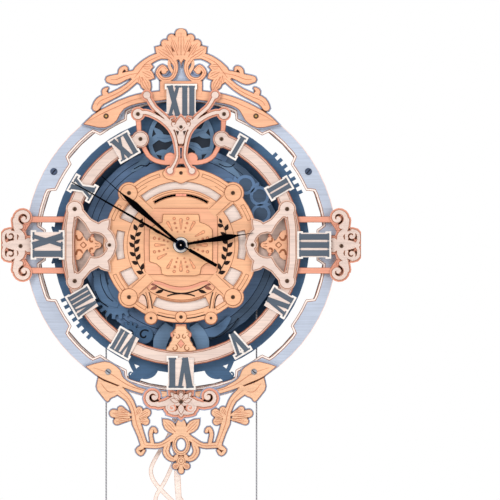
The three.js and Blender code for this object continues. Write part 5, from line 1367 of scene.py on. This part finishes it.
# Engraving on the tie, the wishbone's curls and the base ornament
def engraved_scrolls():
    stock = Stock()
    tie_face(stock)
    for flip in (list, mirrored):
        stock.mark(flip([(-4.3, 93.8), (-1.5, 93.2), (-2.6, 89.6)]), RING, 3, ENGRAVED)
        stock.mark(flip(volute(-5.6, 99.6, 2.6, 250, -340, [0.5, 0.6, 0.4])), RING, 1, ENGRAVED)
        stock.mark(ribbon(flip([(-3.4, 96.8), (-1.8, 94.9), (0, 93.2)]), 0.4), RING, 1, ENGRAVED)
        for web in (OUTER_WEB, INNER_WEB):
            stock.plate(flip(web), BASE - 1.2, BASE + 0.05, 4)
    for radius in (3.3, 1.7):
        stock.ring(*BASE_FOOT, radius - 0.4, radius, BASE - SUNK, BASE + ENGRAVED, 1, 24)
    oval = [(x, OVAL_MIDDLE + y * OVAL_STRETCH) for x, y in circle(0, 0, 5.9, 40)]
    stock.outlined(oval, 0.4, BASE - SUNK, BASE + ENGRAVED, 1)
    materials = [orange, brown_line, cream, dark_line, base_orange, salmon]
    stock.make("engraved_scrolls", materials)


# A flower on the base scroll, with the angle, length and width of its petals, between two curls
PETALS = [(90, 8.4, 5.2), (48, 9, 4.6), (132, 9, 4.6), (12, 9, 4), (168, 9, 4), (270, 10.4, 5)]
FLOWER_CURL = (-7.4, -133.6)


def base_flower():
    stock = Stock()
    for angle, length, width in PETALS:
        petal = leaf(polar(1.8, angle, *FLOWER), polar(length, angle, *FLOWER), width)
        stock.mark(petal, BASE_SCROLL, 0, 0.3)
        stock.outlined(petal[::-1], 0.36, BASE_SCROLL - SUNK, BASE_SCROLL + 0.4, 1)
    for flip in (list, mirrored):
        stock.mark(flip(circle(*FLOWER_CURL, 3.5, 28)), BASE_SCROLL, 2, 0.15)
        stock.mark(flip(volute(*FLOWER_CURL, 3.2, 60, 430, [1.9, 1.6, 1.2])), BASE_SCROLL, 0, 0.3)
    stock.make("base_flower", [cream, brown_line, salmon])


# Pendulum: pale edges on the vine, and a shell medallion on the bob
VINE_FRONT = 32.5
BOB_CENTRE = -410.0
BOB_FRONT = 35.0
BOB_BACK = BOB_FRONT - SUNK
BOB_RING = [(13.4, 34.9), (19.4, 34.9), (19.4, 35.7), (18.8, 36.2), (14.4, 36.2), (13.4, 35.6), (13.4, 34.9)]
SHELL = (0, BOB_CENTRE - 8.4)
SHELL_BACK = 35.4
SHELL_RIBS = 9
SHELL_REACH = 17.5
RIB_ANGLE = 19


def pendulum():
    edge_line("vine", "pendulum_rod", 0.4, VINE_FRONT, vine_line, "pendulum")
    strip("bob_rim", "pendulum_bob", -1.9, -EDGE_GAP, BOB_BACK, BOB_FRONT + 0.35, cream,
          "pendulum")
    stock = Stock()
    stock.turned(BOB_RING, 0, BOB_CENTRE, 0, 48)
    stock.plate(circle(0, BOB_CENTRE, 13.5, 48), BOB_BACK, 35.5, 1)
    for k in range(SHELL_RIBS):
        from_middle = k - SHELL_RIBS // 2
        angle = 90 + from_middle * RIB_ANGLE
        reach = SHELL_REACH - 0.55 * abs(from_middle) ** 1.5
        rib = leaf(polar(2.2, angle, *SHELL), polar(reach, angle, *SHELL), 3.1)
        stock.plate(rib, SHELL_BACK, 35.8, 1)
        stock.outlined(rib[::-1], 0.4, SHELL_BACK, 35.9, 2)
    stock.plate(leaf((-4.4, SHELL[1]), (4.4, SHELL[1]), 3), SHELL_BACK, 35.9, 1)
    stock.make("bob_medallion", [mid_blue, white, soft_line], "pendulum", smooth=35)


# Main weight: a fluted column between flanges, with a palmette above, from profiles of radius and height
FLUTES = 18
COLUMN_TOP = MAIN_TOP - 36
COLUMN_BOTTOM = MAIN_TOP - 132
COLUMN_RADIUS = 16.5
COLUMN_FLANGE = [
    (0, 0), (18.4, 0), (20.4, 1.8), (20.4, 3.2), (19.2, 3.6), (20.2, 4.2), (20.2, 5.6), (18, 6.8), (0, 6.8),
]
FINIAL = [(0, -28), (1.5, -27), (1.9, -15), (4, -13.6), (4.6, -11.6), (9, -10), (12, -6), (0, -5.8)]
NECK = [(0, 5.8), (9, 6), (7.4, 10), (3, 20), (1.8, 29), (1.4, 36), (0, 36)]
PALMETTE = [(8.6, 19, 7.6), (13.4, 12, 6.6)]
PALMETTE_HALF = 1.5


def fluted(angle):
    return 1 - 0.06 * abs(math.sin(FLUTES * angle / 2)) ** 0.6


def main_weight():
    x, depth = -CORD_X, CORD_DEPTH
    root = (x, COLUMN_TOP + 5.4)
    stock = Stock()
    low, high = COLUMN_BOTTOM + 1, COLUMN_TOP - 1
    column = [(0, low), (COLUMN_RADIUS, low), (COLUMN_RADIUS, high), (0, high)]
    stock.upright(column, x, depth, 0, 144, fluted)
    for profile, foot, slot, sides in (
        (COLUMN_FLANGE, COLUMN_BOTTOM - 6, 1, 56), (COLUMN_FLANGE, COLUMN_TOP - 0.8, 1, 56),
        (FINIAL, COLUMN_BOTTOM, 2, 32), (NECK, COLUMN_TOP, 3, 28),
    ):
        stock.upright(moved(profile, 0, foot), x, depth, slot, sides)
    for side in (-1, 1):
        for aside, rise, width in PALMETTE:
            shape = leaf(root, (x + side * aside, COLUMN_TOP + rise), width, 0.6 * side)
            stock.plate(shape, depth - PALMETTE_HALF, depth + PALMETTE_HALF, 3)
    middle = leaf(root, (x, COLUMN_TOP + 26.8), 8.8)
    stock.plate(middle, depth - PALMETTE_HALF, depth + PALMETTE_HALF, 3)
    materials = [column_wood, cap_wood, cap_wood, white_wood]
    piece = stock.make("fluted_weight", materials, "main_weight", smooth=40)
    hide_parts("main_weight")


# Counterweight: two brown barrels with a white one between, held in curled side frames. Heights are shares of
# the length, down from the top.
COUNTER_LENGTH = 121.0
COUNTER_HALF = 13.0
BARREL_EDGE = 0.5
BARRELS = [(0.884, 0.704, 7, 0), (0.704, 0.438, 6, 1), (0.438, 0.256, 7, 0)]
COUNTER_FOOT = [(0, 1), (2.4, 0.975), (3, 0.942), (1.6, 0.909), (4.6, 0.888), (4.6, 0.88), (0, 0.88)]
COUNTER_HEAD = [
    (0, 0.26), (4.6, 0.26), (4.6, 0.25), (1.8, 0.231), (2.5, 0.2), (2.6, 0.16), (1.2, 0.12), (1.2, 0), (0, 0),
]
SIDE_FRAME = [
    (4, 0.38), (COUNTER_HALF - 2.2, 0.413), (COUNTER_HALF - 5, 0.496), (COUNTER_HALF - 7.4, 0.57),
    (COUNTER_HALF - 5, 0.645), (COUNTER_HALF - 2.2, 0.727), (4, 0.76),
]
SIDE_FRAME_WIDTHS = [3.4, 4.2, 3.4, 3.2, 3.4, 4.2, 3.4]


def counterweight():
    x, depth = CORD_X, CORD_DEPTH

    def down(share):
        return COUNTER_TOP - COUNTER_LENGTH * share

    def lowered(pairs):
        return [(across, down(share)) for across, share in pairs]

    stock = Stock()
    for low_share, high_share, radius, slot in BARRELS:
        low, high, rim = down(low_share), down(high_share), radius - BARREL_EDGE
        profile = [
            (0, low), (rim, low), (radius, low + BARREL_EDGE),
            (radius, high - BARREL_EDGE), (rim, high), (0, high),
        ]
        stock.upright(profile, x, depth, slot, 36)
    for profile in (COUNTER_FOOT, COUNTER_HEAD):
        stock.upright(lowered(profile), x, depth, 2, 24)
    for side in (-1, 1):
        course = moved(sided(lowered(SIDE_FRAME), side), x, 0)
        stock.plate(ribbon(course, SIDE_FRAME_WIDTHS, 5), depth - 2, depth + 2, 3)
    materials = [cap_wood, white_wood, column_wood, orange]
    piece = stock.make("barrel_counterweight", materials, "counterweight", smooth=40)
    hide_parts("counterweight")


for build in (
    frame_trim, numerals, screws, dial_arms, dial_tabs, dial_ring_lines, dial_panel, dial_pattern,
    dial_arc_slot, dial_laurels, dial_smile, medallions, veins, top_numeral_block, hub, flange_wheels,
    leaf_wheel, lower_works, crown_stems, engraved_scrolls, base_flower, pendulum, main_weight,
    counterweight,
):
    build()
